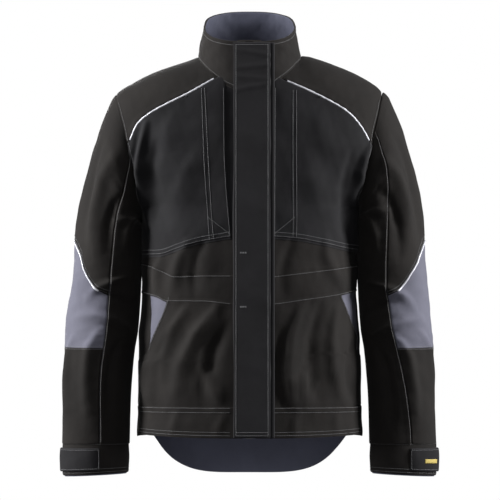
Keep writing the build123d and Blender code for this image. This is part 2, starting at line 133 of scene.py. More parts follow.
def smooth_steps(x, xs, ys):
    """Monotone cubic through the points (xs, ys), with xs rising."""
    xs = np.asarray(xs, float)
    ys = np.asarray(ys, float)
    gap = np.diff(xs)
    rise = np.diff(ys) / gap
    slope = np.zeros_like(ys)
    same = rise[1:] * rise[:-1] > 0
    w1 = 2 * gap[1:] + gap[:-1]
    w2 = gap[1:] + 2 * gap[:-1]
    with np.errstate(divide="ignore", invalid="ignore"):
        mean = (w1 + w2) / (w1 / rise[:-1] + w2 / rise[1:])
    slope[1:-1] = np.where(same, mean, 0)
    slope[0] = rise[0]
    slope[-1] = rise[-1]
    x = np.clip(np.asarray(x, float), xs[0], xs[-1])
    i = np.clip(np.searchsorted(xs, x) - 1, 0, len(xs) - 2)
    t = (x - xs[i]) / gap[i]
    h = gap[i]
    return (ys[i] * (1 + 2 * t) * (1 - t) ** 2 + slope[i] * h * t * (1 - t) ** 2
            + ys[i + 1] * t * t * (3 - 2 * t) + slope[i + 1] * h * t * t * (t - 1))


def level(z, column):
    return smooth_steps(z, BODY_LEVELS[::-1, 0], BODY_LEVELS[::-1, column])


def front_line(z):
    """Depth of the straight centre front from the middle of the body."""
    return TOP_DEPTH + (TOP_Z - z) * math.tan(LEAN)


def signed_power(value, power):
    return np.sign(value) * np.abs(value) ** power


# Rise of each shoulder in mm above the even levels, at |x|
SHOULDER_RISE = {-1: [(95, 0), (115, 2), (150, 3), (200, 3), (255, 4)],
                 1: [(92, 0), (104, 6), (115, 9.5), (150, 10.5), (200, 10.5), (235, 10), (255, 8)]}
# The piped yoke seam of each front in mm: |x|, z. -1 is the wearer's right
YOKE_SEAM = {
    -1: [(40, -38), (67, -53), (116, -80), (153, -98), (184, -115), (208, -135), (224, -170)],
    1: [(40, -40), (69, -56), (106, -72), (149, -93), (186, -117), (210, -144), (228, -178)],
}


def seam_z(table, side, x):
    stations = np.array(table[side], float) * MM
    return smooth_steps(np.abs(x), stations[:, 0], stations[:, 1])


RIDGE_Z = np.linspace(BODY_LEVELS[0, 0], BODY_LEVELS[7, 0], 800)
RIDGE_X = level(RIDGE_Z, 1)


def ridge_z(x):
    """Height of the shoulder line at |x|."""
    return np.interp(np.abs(x), RIDGE_X, RIDGE_Z)


def shoulder_rise(x, z, side):
    seam = seam_z(YOKE_SEAM, side, x)
    share = np.clip((z - seam) / np.maximum(ridge_z(x) - seam, 5 * MM), 0, 1)
    rises = np.array(SHOULDER_RISE[side], float) * MM
    return smooth_steps(np.abs(x), rises[:, 0], rises[:, 1]) * share ** 1.5


def body_base(turn, z):
    """Smooth body. turn is 0 at the centre front, 90 degrees at +X and 180 at the back."""
    half = level(z, 1)
    front = front_line(z) - level(z, 2)
    back = level(z, 3)
    x = half * signed_power(np.sin(turn), 2 / SQUARE)
    depth = np.where(np.cos(turn) > 0, front, back)
    y = MID_Y - depth * signed_power(np.cos(turn), 2 / SQUARE)
    rise = np.where(x > 0, shoulder_rise(x, z, 1), shoulder_rise(x, z, -1))
    return np.stack([x, y, z + rise], -1)


def inside_body(x, y, z):
    depth = np.where(y < MID_Y, front_line(z) - level(z, 2), level(z, 3))
    return (np.abs(x / level(z, 1)) ** SQUARE + np.abs((y - MID_Y) / depth) ** SQUARE) < 1.0


def bisect(low, high, is_low):
    """Where is_low turns false, between low and high."""
    for _ in range(30):
        middle = (low + high) / 2
        short = is_low(middle)
        low = np.where(short, middle, low)
        high = np.where(short, high, middle)
    return (low + high) / 2


def turn_at(x, z):
    """turn of the front point that is at x."""
    ratio = np.clip(x / level(z, 1), -1, 1)
    return np.arcsin(signed_power(ratio, SQUARE / 2))


def armhole_x(z):
    """The armhole plane, from the shoulder down to the underarm."""
    slope = (SHOULDER_X - UNDERARM_X) / (SHOULDER_Z - UNDERARM_Z)
    below = UNDERARM_X + np.maximum(UNDERARM_Z - z, 0) * 0.5
    return np.where(z > UNDERARM_Z, UNDERARM_X + (z - UNDERARM_Z) * slope, below)


# ---------------------------------------------------------------- folds, seams, unevenness


def ripple(x, z, scale, seed):
    """Gentle unevenness from a few crossing waves, about -1 to 1."""
    total = 0
    for n in range(7):
        angle = seed * 1.7 + n * 2.399
        length = scale * (0.6 + 0.23 * n)
        k = 2 * math.pi / length
        total = total + np.sin(
            k * (x * math.cos(angle) + z * math.sin(angle)) + seed * 3.1 + n * 1.3)
    return total / 4.0


def polyline_distance(x, z, points):
    """Signed distance to a polyline and the run along it, positive on its left."""
    best = np.full(x.shape, 1e9)
    side = np.zeros(x.shape)
    along = np.zeros(x.shape)
    run = 0.0
    for (x0, z0), (x1, z1) in zip(points[:-1], points[1:]):
        dx, dz = x1 - x0, z1 - z0
        length = math.hypot(dx, dz)
        t = np.clip(((x - x0) * dx + (z - z0) * dz) / length ** 2, 0, 1)
        px, pz = x - x0 - t * dx, z - z0 - t * dz
        distance = np.hypot(px, pz)
        nearer = distance < best
        best = np.where(nearer, distance, best)
        side = np.where(nearer, np.sign(dx * pz - dz * px), side)
        along = np.where(nearer, run + t * length, along)
        run += length
    return best * np.where(side == 0, 1, side), along, run


def fold_height(x, z, fold):
    """One soft fold: a ridge if its height is positive, a valley if negative."""
    x0, z0, x1, z1, width, height = [value * MM for value in fold]
    bend = 0.12 * math.hypot(x1 - x0, z1 - z0)
    mid_x = (x0 + x1) / 2 + bend * (z1 - z0) / math.hypot(x1 - x0, z1 - z0)
    mid_z = (z0 + z1) / 2 - bend * (x1 - x0) / math.hypot(x1 - x0, z1 - z0)
    points = [(x0, z0), ((x0 + 2 * mid_x) / 3, (z0 + 2 * mid_z) / 3),
              ((x1 + 2 * mid_x) / 3, (z1 + 2 * mid_z) / 3), (x1, z1)]
    distance, along, run = polyline_distance(x, z, points)
    t = along / run
    taper = np.sin(math.pi * np.clip(0.08 + 0.84 * t, 0, 1)) ** 0.8
    spread = width * (0.75 + 0.5 * t)
    steep = np.where(distance > 0, spread, spread * 0.7)
    return height * taper * np.exp(-(distance / steep) ** 2)


# Folds of the front in mm: x, z at both ends, width, height. +x is the wearer's left
FRONT_FOLDS = [
    (-193, -135, -183, -322, 9, 7), (-206, -150, -197, -320, 9, -3),
    (-172, -170, -166, -300, 14, -3),
    (227, -172, 202, -255, 8, 6), (203, -225, 201, -372, 9, 5), (190, -185, 187, -370, 12, -3),
    (-222, -185, -202, -230, 8, 3),
    (-112, -352, -142, -455, 13, 4), (-85, -352, -100, -455, 11, -2.5),
    (-165, -385, -172, -450, 9, 3),
    (-60, -475, -140, -650, 16, 5.5), (-35, -500, -85, -655, 14, -4),
    (-120, -480, -178, -640, 13, 4), (-150, -520, -170, -655, 10, -3.5),
    (-88, -560, -52, -655, 10, 3.5), (-190, -570, -188, -655, 10, 4),
    (95, -475, 80, -650, 14, 5), (128, -475, 122, -655, 13, -4),
    (60, -520, 62, -655, 9, -3), (160, -480, 172, -650, 13, 5),
    (140, -350, 175, -440, 13, 3), (80, -350, 60, -460, 12, -2.5),
    (192, -540, 190, -655, 9, -3), (110, -580, 104, -655, 7, 3.5),
    (88, -610, 84, -657, 5, 2.4), (74, -600, 72, -657, 5, 2.2), (122, -615, 118, -657, 5, 2.2),
    (-140, -120, -150, -190, 22, 2.5), (130, -120, 150, -200, 22, 2.5),
    (-95, -190, -135, -330, 26, 3), (110, -180, 150, -320, 26, 3),
    (-40, -668, -60, -714, 9, 1.6), (-130, -668, -140, -714, 10, 1.8),
    (90, -668, 84, -714, 9, 1.6), (165, -668, 160, -712, 10, 1.8),
]
FOLD_DEPTH = 1.9
BACK_FOLDS = [
    (-190, -150, -150, -330, 18, 6), (190, -150, 150, -330, 18, 6),
    (-150, -190, -110, -380, 16, -4), (150, -190, 110, -380, 16, -4),
    (-60, -160, -40, -420, 24, 4), (70, -180, 45, -460, 24, 4),
    (-130, -420, -100, -650, 20, 5), (120, -420, 135, -650, 20, 5),
    (0, -380, 12, -640, 22, -4), (-170, -480, -180, -650, 14, 4),
    (170, -500, 182, -650, 14, 4), (-60, -500, -66, -690, 14, 3),
    (70, -520, 60, -700, 14, 3), (-120, -60, -60, -120, 22, 2.5), (120, -60, 60, -120, 22, 2.5),
]


# Seams of each front in mm: stations of |x|, z. -1 is the wearer's right
POCKET_HEM = {
    -1: [(0, -346), (35, -347), (62, -351), (91, -356), (133, -369), (168, -380), (190, -380.5),
         (230, -381)],
    1: [(0, -346), (45, -347), (93, -351), (130, -358), (201, -372), (230, -375)],
}
UPPER_WAIST = {
    -1: [(0, -416), (92, -416), (134, -418), (153, -412), (179, -400), (230, -388)],
    1: [(0, -419), (34, -418), (93, -412), (201, -398), (230, -394)],
}
LOWER_WAIST = {
    -1: [(0, -470), (27, -468), (92, -462), (151, -462), (171, -453), (230, -440)],
    1: [(0, -470), (42, -468), (93, -461), (167, -450), (201, -442), (230, -437)],
}
HAND_MOUTH = {        # |x| at falling z
    -1: [(-462, 151), (-500, 166), (-559, 190)],
    1: [(-450, 169), (-490, 186), (-528, 203)],
}
SIDE_PANEL = {        # z, |x| of the narrow panel between the facing and the side
    -1: [(-440, 187), (-500, 184), (-530, 183.5), (-560, 190), (-660, 196)],
    1: [(-440, 201.5), (-500, 203.5), (-560, 205), (-660, 206)],
}
CHEST_STITCH = {      # z, |x| of the two vertical stitch lines
    -1: [[(-70, 89), (-240, 82), (-305, 77), (-352, 74)], [(-70, 83), (-305, 70), (-350, 66)]],
    1: [[(-74, 80.5), (-346, 80.5)], [(-74, 87), (-346, 87)]],
}
ENTRY_EDGE = {        # z, |x| of the chest pocket's mouth
    -1: [(-60, 45), (-185, 44), (-240, 41.6), (-345, 33)],
    1: [(-60, 45), (-345, 43.5)],
}
TRIANGLE = {-1: [(77, -309), (37, -340)], 1: [(84, -309), (46, -340)]}


def seam_x(table, side, z):
    stations = np.array(table[side], float)[::-1] * MM
    return smooth_steps(z, stations[:, 0], stations[:, 1])


def front_seam_lines():
    """Polyline, lap side and lap width of every seam that shows as relief on the front."""
    lines = []
    for side in (-1, 1):
        for table, lap, last in ((YOKE_SEAM, 1, 230), (POCKET_HEM, 1, 205), (UPPER_WAIST, 1, 203),
                                 (LOWER_WAIST, -1, 203)):
            xs = np.linspace(30, last, 30) * MM
            zs = seam_z(table, side, xs)
            width = 9 * MM if table is not UPPER_WAIST else 5 * MM
            lines.append((list(zip(side * xs, zs))[::side], lap, width))
        band = [(side * 30 * MM, BAND_Z), (side * 210 * MM, BAND_Z)][::side]
        lines.append((band, -1, 11 * MM))
    return lines


FRONT_SEAMS = front_seam_lines()


def seam_relief(x, z, seams):
    """Groove along each seam, the raised lap beside it and fine puckers."""
    height = np.zeros(x.shape)
    for points, lap, width in seams:
        distance, along, run = polyline_distance(x, z, points)
        inside = np.clip(np.minimum(along, run - along) / (4 * MM), 0, 1)
        away = np.abs(distance)
        signed = distance * lap
        height -= 0.9 * MM * np.exp(-(away / (1.3 * MM)) ** 2)
        raised = np.clip(signed / (1.5 * MM), 0, 1) * np.clip((width - signed) / (2 * MM), 0, 1)
        height += 0.7 * MM * raised * inside
        pucker = np.sin(2 * math.pi * along / (15 * MM) + 3 * np.sin(along / (31 * MM)))
        height += 0.45 * MM * pucker * np.exp(-away / (9 * MM)) * inside
    return height


def body_height(turn, z, base):
    """How far the cloth stands off the smooth body."""
    x = base[..., 0]
    front = np.cos(turn) > 0
    height = 1.9 * MM * ripple(x, z, 0.10, 1.0) + 0.4 * MM * ripple(x, z, 0.03, 2.0)
    fronts = np.zeros(x.shape)
    for fold in FRONT_FOLDS:
        fronts += FOLD_DEPTH * fold_height(x, z, fold)
    backs = np.zeros(x.shape)
    for fold in BACK_FOLDS:
        backs += fold_height(x, z, fold)
    edge = np.clip(np.abs(np.cos(turn)) * 6, 0, 1)
    calm = np.where(front, np.clip((np.abs(x) - 30 * MM) / (25 * MM), 0, 1), 1)
    height = (height + np.where(front, fronts, backs) * edge) * calm
    height += np.where(front, seam_relief(x, z, FRONT_SEAMS), 0)
    neck = np.clip((-z - 30 * MM) / (40 * MM), 0, 1)
    return height * (0.25 + 0.75 * neck)


def normals_of(function, u, v, du, dv):
    """Unit normals of a surface function, by small steps."""
    along_u = function(u + du, v) - function(u - du, v)
    along_v = function(u, v + dv) - function(u, v - dv)
    normal = np.cross(along_u, along_v)
    return normal / np.maximum(np.linalg.norm(normal, axis=-1, keepdims=True), 1e-12)


def body(turn, z, off=0.0):
    """Points of the cloth's outer face, moved outward by off."""
    base = body_base(turn, z)
    normal = normals_of(body_base, turn, z, 0.004, 0.5 * MM)
    return base + normal * (body_height(turn, z, base) + off)[..., None]


# ---------------------------------------------------------------- meshes

def make_object(name, points, faces, material, weave=None, edge=None):
    mesh = bpy.data.meshes.new(name)
    mesh.from_pydata([tuple(p) for p in points], [], [tuple(f) for f in faces])
    mesh.validate()
    mesh.update()
    mesh.polygons.foreach_set("use_smooth", [True] * len(mesh.polygons))
    if weave is not None:
        attribute = mesh.attributes.new("weave", "FLOAT_VECTOR", "POINT")
        attribute.data.foreach_set("vector", np.asarray(weave, np.float32).ravel())
    shade = np.ones(len(points)) if edge is None else edge
    attribute = mesh.attributes.new("edge", "FLOAT", "POINT")
    attribute.data.foreach_set("value", np.asarray(shade, np.float32).ravel())
    piece = bpy.data.objects.new(name, mesh)
    bpy.context.scene.collection.objects.link(piece)
    mesh.materials.append(material)
    return piece


def settle(piece, body_name, slot, *nodes):
    """The body that the piece rides and the CAD nodes it stands for, which are hidden; slot, a
    material slot's name, is not used.
    """
    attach(piece, body_name)
    if nodes:
        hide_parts(*nodes)


def grid_normals(points):
    """Unit normals of a grid of points, rows down and columns across."""
    across = np.gradient(points, axis=1)
    down = np.gradient(points, axis=0)
    normal = np.cross(across, down)
    return normal / np.maximum(np.linalg.norm(normal, axis=-1, keepdims=True), 1e-12)


def spaced(length, step, fine=True):
    """Positions 0 to 1 along an edge, closer together at both ends."""
    if not fine or length < 12 * MM:
        return np.linspace(0, 1, max(3, int(length / step) + 1))
    ends = np.array([0, 0.6, 1.4, 2.6, 4.2]) * MM
    middle = np.linspace(6.5 * MM, length - 6.5 * MM, max(2, int((length - 13 * MM) / step) + 1))
    return np.concatenate([ends, middle, length - ends[::-1]]) / length


def cloth_patch(name, points, material, thickness=CLOTH, closed=False, roll=0.5,
                core=(0.0, -0.056)):
    """A piece of cloth with thickness from a grid of outer points, its edges rolled in.

    core is the (x, y) of an upright line behind the cloth, which tells its outer face."""
    rows, columns = points.shape[:2]
    if closed:
        wrapped = np.concatenate([points[:, -2:], points, points[:, :2]], axis=1)
        normal = grid_normals(wrapped)[:, 2:-2]
    else:
        normal = grid_normals(points)
    outward = (points[..., :2] - np.array(core)) * normal[..., :2]
    flip = outward.sum() < 0
    if flip:
        normal = -normal
    step_v = np.linalg.norm(np.diff(points, axis=0), axis=-1).mean(axis=1)
    step_u = np.linalg.norm(np.diff(points, axis=1), axis=-1).mean(axis=0)
    run_v = np.concatenate([[0], np.cumsum(step_v)])
    run_u = np.concatenate([[0], np.cumsum(step_u)])
    to_edge = np.minimum(run_v, run_v[-1] - run_v)[:, None] + 0 * run_u[None, :]
    if not closed:
        to_edge = np.minimum(to_edge, np.minimum(run_u, run_u[-1] - run_u)[None, :])
    sink = roll * thickness * np.exp(-(to_edge / (1.1 * MM)) ** 2)
    outer = points - normal * sink[..., None]
    inner = points - normal * thickness
    index = np.arange(rows * columns).reshape(rows, columns)
    ring = columns if closed else columns - 1
    a = index[:-1, :ring]
    b = np.roll(index, -1, axis=1)[:-1, :ring]
    c = np.roll(index, -1, axis=1)[1:, :ring]
    d = index[1:, :ring]
    quads = np.stack([a, b, c, d], -1).reshape(-1, 4)
    if flip:
        quads = quads[:, ::-1]
    offset = rows * columns
    faces = [quads, quads[:, ::-1] + offset]
    rims = [index[0, :], index[-1, ::-1]]
    if not closed:
        rims += [index[::-1, 0], index[:, -1]]
    for rim in rims:
        end = len(rim) if closed else len(rim) - 1
        following = np.roll(rim, -1)[:end]
        rim = rim[:end]
        strip = np.stack([following, rim, rim + offset, following + offset], -1)
        faces.append(strip[:, ::-1] if flip else strip)
    weave = np.zeros((rows, columns, 3))
    weave[..., 0] = run_u[None, :]
    weave[..., 1] = run_v[:, None]
    every = np.concatenate([outer.reshape(-1, 3), inner.reshape(-1, 3)])
    return make_object(
        name, every, np.concatenate(faces), material,
        np.concatenate([weave.reshape(-1, 3)] * 2),
        np.concatenate([(to_edge / MM).ravel()] * 2))


def body_patch(name, material, side, top, bottom, inner, outer, width, height, off=0.0,
               back=False, power=1.0):
    """A panel of the body. top and bottom give z at |x|, inner and outer give |x| at z."""
    s = spaced(width, 4 * MM)[None, :]
    t = (spaced(height, 4 * MM) ** power)[:, None]
    z = np.full((t.shape[0], s.shape[1]), -0.3)
    x = np.full(z.shape, 0.1) * s
    for _ in range(12):
        z_top = top(x)
        z_bottom = bottom(x)
        z = z_top + (z_bottom - z_top) * t
        turn_in = turn_at(inner(z), z)
        turn_out = turn_at(outer(z), z)
        turn = turn_in + (turn_out - turn_in) * s
        x = level(z, 1) * signed_power(np.sin(turn), 2 / SQUARE)
    if back:
        turn = math.pi - turn
    return cloth_patch(name, body(turn * side, z, off), material)


def yoke_patch(name, material, side, top, bottom, inner, off=0.0, back=False):
    """The top of the body, from the neck and the shoulder line down to a seam."""
    s = spaced(0.24, 3.5 * MM)[None, :]
    t = (spaced(0.11, 3 * MM) ** 1.8)[:, None]
    x = inner + (SHOULDER_X - inner) * s + 0 * t
    for _ in range(12):
        z = top(x) + (bottom(x) - top(x)) * t
        reach = np.minimum(armhole_x(z), SHOULDER_X - 0.1 * MM)
        x = inner + (reach - inner) * s
    turn = turn_at(x, z)
    if back:
        turn = math.pi - turn
    return cloth_patch(name, body(turn * side, z, off), material)


# ---------------------------------------------------------------- materials


def node_tree(name):
    material = bpy.data.materials.new(name)
    material.use_nodes = True
    tree = material.node_tree
    shader = tree.nodes["Principled BSDF"]
    return material, tree, shader


def add_node(tree, kind, **values):
    node = tree.nodes.new(kind)
    for key, value in values.items():
        if key in node.inputs:
            node.inputs[key].default_value = value
        else:
            setattr(node, key, value)
    return node


def add_noise(tree, place, **values):
    """Noise at the place that an output gives."""
    node = add_node(tree, "ShaderNodeTexNoise", **values)
    tree.links.new(place, node.inputs["Vector"])
    return node.outputs["Fac"]


def two_tone(tree, factor, dark, light, first, last):
    """Colour from dark to light as the factor goes from first to last."""
    ramp = add_node(tree, "ShaderNodeValToRGB")
    for element, position, colour in zip(ramp.color_ramp.elements, (first, last), (dark, light)):
        element.position = position
        element.color = (*colour, 1)
    tree.links.new(factor, ramp.inputs["Fac"])
    return ramp.outputs["Color"]


def add_bump(tree, height, strength, distance, normal=None):
    node = add_node(tree, "ShaderNodeBump", Strength=strength, Distance=distance)
    tree.links.new(height, node.inputs["Height"])
    if normal:
        tree.links.new(normal, node.inputs["Normal"])
    return node.outputs["Normal"]


def add_sum(tree, a, factor, b):
    """a times a factor, plus b."""
    node = add_node(tree, "ShaderNodeMath", operation="MULTIPLY_ADD")
    node.inputs[1].default_value = factor
    tree.links.new(a, node.inputs[0])
    tree.links.new(b, node.inputs[2])
    return node.outputs[0]


def set_shader(shader, **values):
    for key, value in values.items():
        shader.inputs[key.replace("_", " ")].default_value = value


def twill(name, dark, light, rough=0.85, sheen=0.02, pitch=403.0, bump=0.35):
    """Woven cloth: diagonal ribs, uneven dye, worn edges."""
    material, tree, shader = node_tree(name)
    link = tree.links.new
    place = add_node(tree, "ShaderNodeAttribute", attribute_name="weave").outputs["Vector"]
    where = add_node(tree, "ShaderNodeTexCoord").outputs["Object"]
    wave = add_node(tree, "ShaderNodeTexWave", bands_direction="DIAGONAL", Scale=pitch,
                    Distortion=1.2, Detail=1.0)
    wave.inputs["Detail Scale"].default_value = 2.0
    link(place, wave.inputs["Vector"])
    ribs = wave.outputs["Fac"]
    yarn = add_noise(tree, place, Scale=900.0, Detail=2.0)
    dye = add_noise(tree, where, Scale=14.0, Detail=5.0, Roughness=0.6)
    wear = add_noise(tree, where, Scale=60.0, Detail=4.0, Roughness=0.7)
    dyed = two_tone(tree, add_sum(tree, ribs, 0.45, dye), dark, light, 0.38, 1.0)
    edge = add_node(tree, "ShaderNodeAttribute", attribute_name="edge")
    near = add_node(tree, "ShaderNodeMapRange", interpolation_type="SMOOTHSTEP")
    set_shader(near, From_Min=0.0, From_Max=3.0, To_Min=0.55, To_Max=0.0)
    link(edge.outputs["Fac"], near.inputs["Value"])
    worn = add_node(tree, "ShaderNodeMath", operation="MULTIPLY")
    link(near.outputs["Result"], worn.inputs[0])
    link(wear, worn.inputs[1])
    colour = add_node(tree, "ShaderNodeMix", data_type="RGBA")
    link(worn.outputs[0], colour.inputs["Factor"])
    link(dyed, colour.inputs["A"])
    paler = tuple(min(1, c * 1.8 + 0.01) for c in light)
    colour.inputs["B"].default_value = (*paler, 1)
    link(colour.outputs["Result"], shader.inputs["Base Color"])
    fine = add_bump(tree, add_sum(tree, yarn, 0.5, ribs), bump, 0.0003)
    crumple = add_noise(tree, where, Scale=45.0, Detail=3.0, Roughness=0.55)
    link(add_bump(tree, crumple, 0.35, 0.002, fine), shader.inputs["Normal"])
    set_shader(shader, Roughness=rough, Sheen_Weight=sheen, Sheen_Roughness=0.45,
               Specular_IOR_Level=0.15)
    return material


def plain(name, dark, light, scale, rough, metal=0.0, bump=0.2, coat=0.0):
    """Thread, tape, plastic or metal with a fine uneven surface."""
    material, tree, shader = node_tree(name)
    where = add_node(tree, "ShaderNodeTexCoord").outputs["Object"]
    noise = add_noise(tree, where, Scale=scale, Detail=3.0)
    tree.links.new(two_tone(tree, noise, dark, light, 0.35, 0.7), shader.inputs["Base Color"])
    tree.links.new(add_bump(tree, noise, bump, 0.0004), shader.inputs["Normal"])
    set_shader(shader, Roughness=rough, Metallic=metal, Coat_Weight=coat)
    return material


BROWN_BLACK = twill("brown_black_twill", (0.0030, 0.0024, 0.0021), (0.0072, 0.0060, 0.0052))
BLUE_BLACK = twill("blue_black_twill", (0.0030, 0.0029, 0.0033), (0.0068, 0.0066, 0.0077))
GREY = twill("grey_twill", (0.055, 0.055, 0.072), (0.082, 0.082, 0.104), sheen=0.03)
LINING = twill("lining_cloth", (0.040, 0.042, 0.060), (0.062, 0.065, 0.092), rough=0.7, pitch=620.0,
               bump=0.2, sheen=0.03)
THREAD = plain("thread", (0.060, 0.060, 0.062), (0.110, 0.110, 0.115), 1500.0, 0.6)
PIPING = plain("reflective_piping", (0.33, 0.33, 0.36), (0.45, 0.45, 0.48), 1200.0, 0.35, coat=0.3)
TAPE = plain("black_tape", (0.008, 0.008, 0.009), (0.02, 0.02, 0.022), 2500.0, 0.85, bump=0.8)
TAG = plain("tag", (0.24, 0.18, 0.04), (0.32, 0.25, 0.06), 2000.0, 0.8, bump=0.6)
METAL = plain("zip_metal", (0.45, 0.45, 0.47), (0.62, 0.62, 0.64), 800.0, 0.3, metal=1.0)
PLASTIC = plain("zip_plastic", (0.012, 0.012, 0.013), (0.03, 0.03, 0.032), 900.0, 0.45)

# ---------------------------------------------------------------- collar and neck

COLLAR_LEVELS = np.array([(-90, 112, 74), (80, 79, 63)]) * MM
RIM_BACK = (0.008, 0.0775)            # y and z of the collar's top edge at the back
RIM_SLOPE = (RIM_BACK[1] - TOP_Z) / (RIM_BACK[0] - (MID_Y - TOP_DEPTH))


def collar_base(turn, z):
    half = np.interp(z, COLLAR_LEVELS[:, 0], COLLAR_LEVELS[:, 1])
    back = np.interp(z, COLLAR_LEVELS[:, 0], COLLAR_LEVELS[:, 2])
    x = half * signed_power(np.sin(turn), 2 / COLLAR_SQUARE)
    depth = np.where(np.cos(turn) > 0, front_line(z), back)
    y = MID_Y - depth * signed_power(np.cos(turn), 2 / COLLAR_SQUARE)
    return np.stack([x, y, z + 0 * x], -1)


def collar_bottom(turn):
    """Height at which the collar meets the body."""
    def inside(z):
        p = collar_base(turn, z)
        return inside_body(p[..., 0], p[..., 1], z)

    return bisect(np.full(turn.shape, -0.085), np.full(turn.shape, -0.004), inside)


def collar_top(turn):
    z = np.full(turn.shape, 0.04)
    for _ in range(12):
        y = collar_base(turn, z)[..., 1]
        z = TOP_Z + (y - (MID_Y - TOP_DEPTH)) * RIM_SLOPE
    return z


NECK_TURNS = np.linspace(0.02, math.pi - 0.02, 240)
NECK_Z = collar_bottom(NECK_TURNS)
NECK_X = collar_base(NECK_TURNS, NECK_Z)[:, 0]
NECK_PEAK = int(np.argmax(NECK_X))


def neck_z(x, back=False):
    """Upper edge of the body: the neck seam, then the shoulder line."""
    if back:
        z = np.interp(np.abs(x), NECK_X[:NECK_PEAK:-1], NECK_Z[:NECK_PEAK:-1])
    else:
        z = np.interp(np.abs(x), NECK_X[:NECK_PEAK + 1], NECK_Z[:NECK_PEAK + 1])
    return np.where(np.abs(x) < NECK_X[NECK_PEAK], z, ridge_z(x))


COLLAR_FOLDS = [(0.30, -0.035, 0.9), (0.55, 0.01, 1.2), (-0.45, -0.02, 1.1), (-0.9, 0.0, 1.0),
                (1.1, -0.01, 1.0), (2.2, 0.02, 1.0), (-2.3, 0.01, 1.1)]


def collar_surface(turn, z, off=0.0):
    base = collar_base(turn, z)
    normal = normals_of(collar_base, turn, z, 0.004, 0.5 * MM)
    arc = turn * 90 * MM
    height = 1.0 * MM * ripple(arc, z, 0.05, 5.0) + 0.4 * MM * ripple(arc, z, 0.02, 6.0)
    for fold_turn, fold_z, strength in COLLAR_FOLDS:
        slope = (z - fold_z) + 0.25 * (arc - fold_turn * 90 * MM)
        reach = np.exp(-((turn - fold_turn) / 0.4) ** 2)
        height += strength * 1.3 * MM * reach * np.exp(-(slope / (6 * MM)) ** 2)
    calm = np.clip((np.abs(base[..., 0]) - 12 * MM) / (20 * MM), 0, 1)
    calm = np.where(np.cos(turn) > 0, calm, 1)
    return base + normal * (height * calm + off)[..., None]


def make_collar():
    gap = math.asin((8 * MM / 0.1) ** (COLLAR_SQUARE / 2))
    turns = np.linspace(gap, 2 * math.pi - gap, 150)[None, :]
    t = spaced(0.085, 3 * MM)[:, None]
    top = collar_top(turns) + 0 * t
    bottom = collar_bottom(turns) - 0.5 * MM
    z = top + (bottom - top) * t
    both = turns + 0 * t
    outer = cloth_patch("collar_cloth", collar_surface(both, z), BROWN_BLACK, 1.6 * MM)
    settle(outer, "torso", "black_twill", "collar_outer")
    inside = collar_surface(both, z, -2.0 * MM)
    lining = cloth_patch("collar_lining_cloth", inside, LINING, 0.8 * MM)
    settle(lining, "torso", "lining", "collar_lining")
    roll = []
    for turn in turns[0]:
        row = []
        for k in range(7):
            angle = math.pi * k / 6
            row.append((turn, -1.3 * MM * (1 - math.cos(angle)), 1.2 * MM * math.sin(angle)))
        roll.append(row)
    roll = np.array(roll)
    z_roll = collar_top(roll[..., 0])
    edge = collar_surface(roll[..., 0], z_roll, roll[..., 1] + 0.3 * MM)
    edge[..., 2] += roll[..., 2] - 0.4 * MM
    cap = cloth_patch("collar_edge", edge, BROWN_BLACK, 0.5 * MM)
    settle(cap, "torso", "black_twill")


# ---------------------------------------------------------------- stitches and piping


def tube_mesh(name, path, radius, material, sides=8, taper=0.0):
    """A round cord along a path of points, closed at both ends."""
    path = np.asarray(path)
    along = np.gradient(path, axis=0)
    along /= np.linalg.norm(along, axis=1, keepdims=True)
    across = np.cross(along, np.array([0.03, 0.05, 1.0]))
    across /= np.linalg.norm(across, axis=1, keepdims=True)
    up = np.cross(across, along)
    run = np.linspace(0, 1, len(path))
    width = radius * (1 - taper * np.clip((run - 0.8) / 0.2, 0, 1))
    angles = np.linspace(0, 2 * math.pi, sides, endpoint=False)
    ring = (path[:, None] + width[:, None, None] * (
        np.cos(angles)[None, :, None] * across[:, None]
        + np.sin(angles)[None, :, None] * up[:, None]))
    rows = len(path)
    points = np.concatenate([ring.reshape(-1, 3), path[:1], path[-1:]])
    faces = []
    for i in range(rows - 1):
        for j in range(sides):
            k = (j + 1) % sides
            faces.append((i * sides + j, i * sides + k, (i + 1) * sides + k, (i + 1) * sides + j))
    first, last = rows * sides, rows * sides + 1
    for j in range(sides):
        k = (j + 1) % sides
        faces.append((first, k, j))
        faces.append((last, (rows - 1) * sides + j, (rows - 1) * sides + k))
    return make_object(name, points, faces, material)


STITCH_PITCH = 3.3 * MM
STITCH_RADIUS = 0.42 * MM


def resample(path, pitch):
    path = np.asarray(path)
    run = np.concatenate([[0], np.cumsum(np.linalg.norm(np.diff(path, axis=0), axis=1))])
    count = max(2, int(run[-1] / pitch))
    where = np.linspace(0, run[-1], count + 1)
    return np.stack([np.interp(where, run, path[:, k]) for k in range(3)], -1)


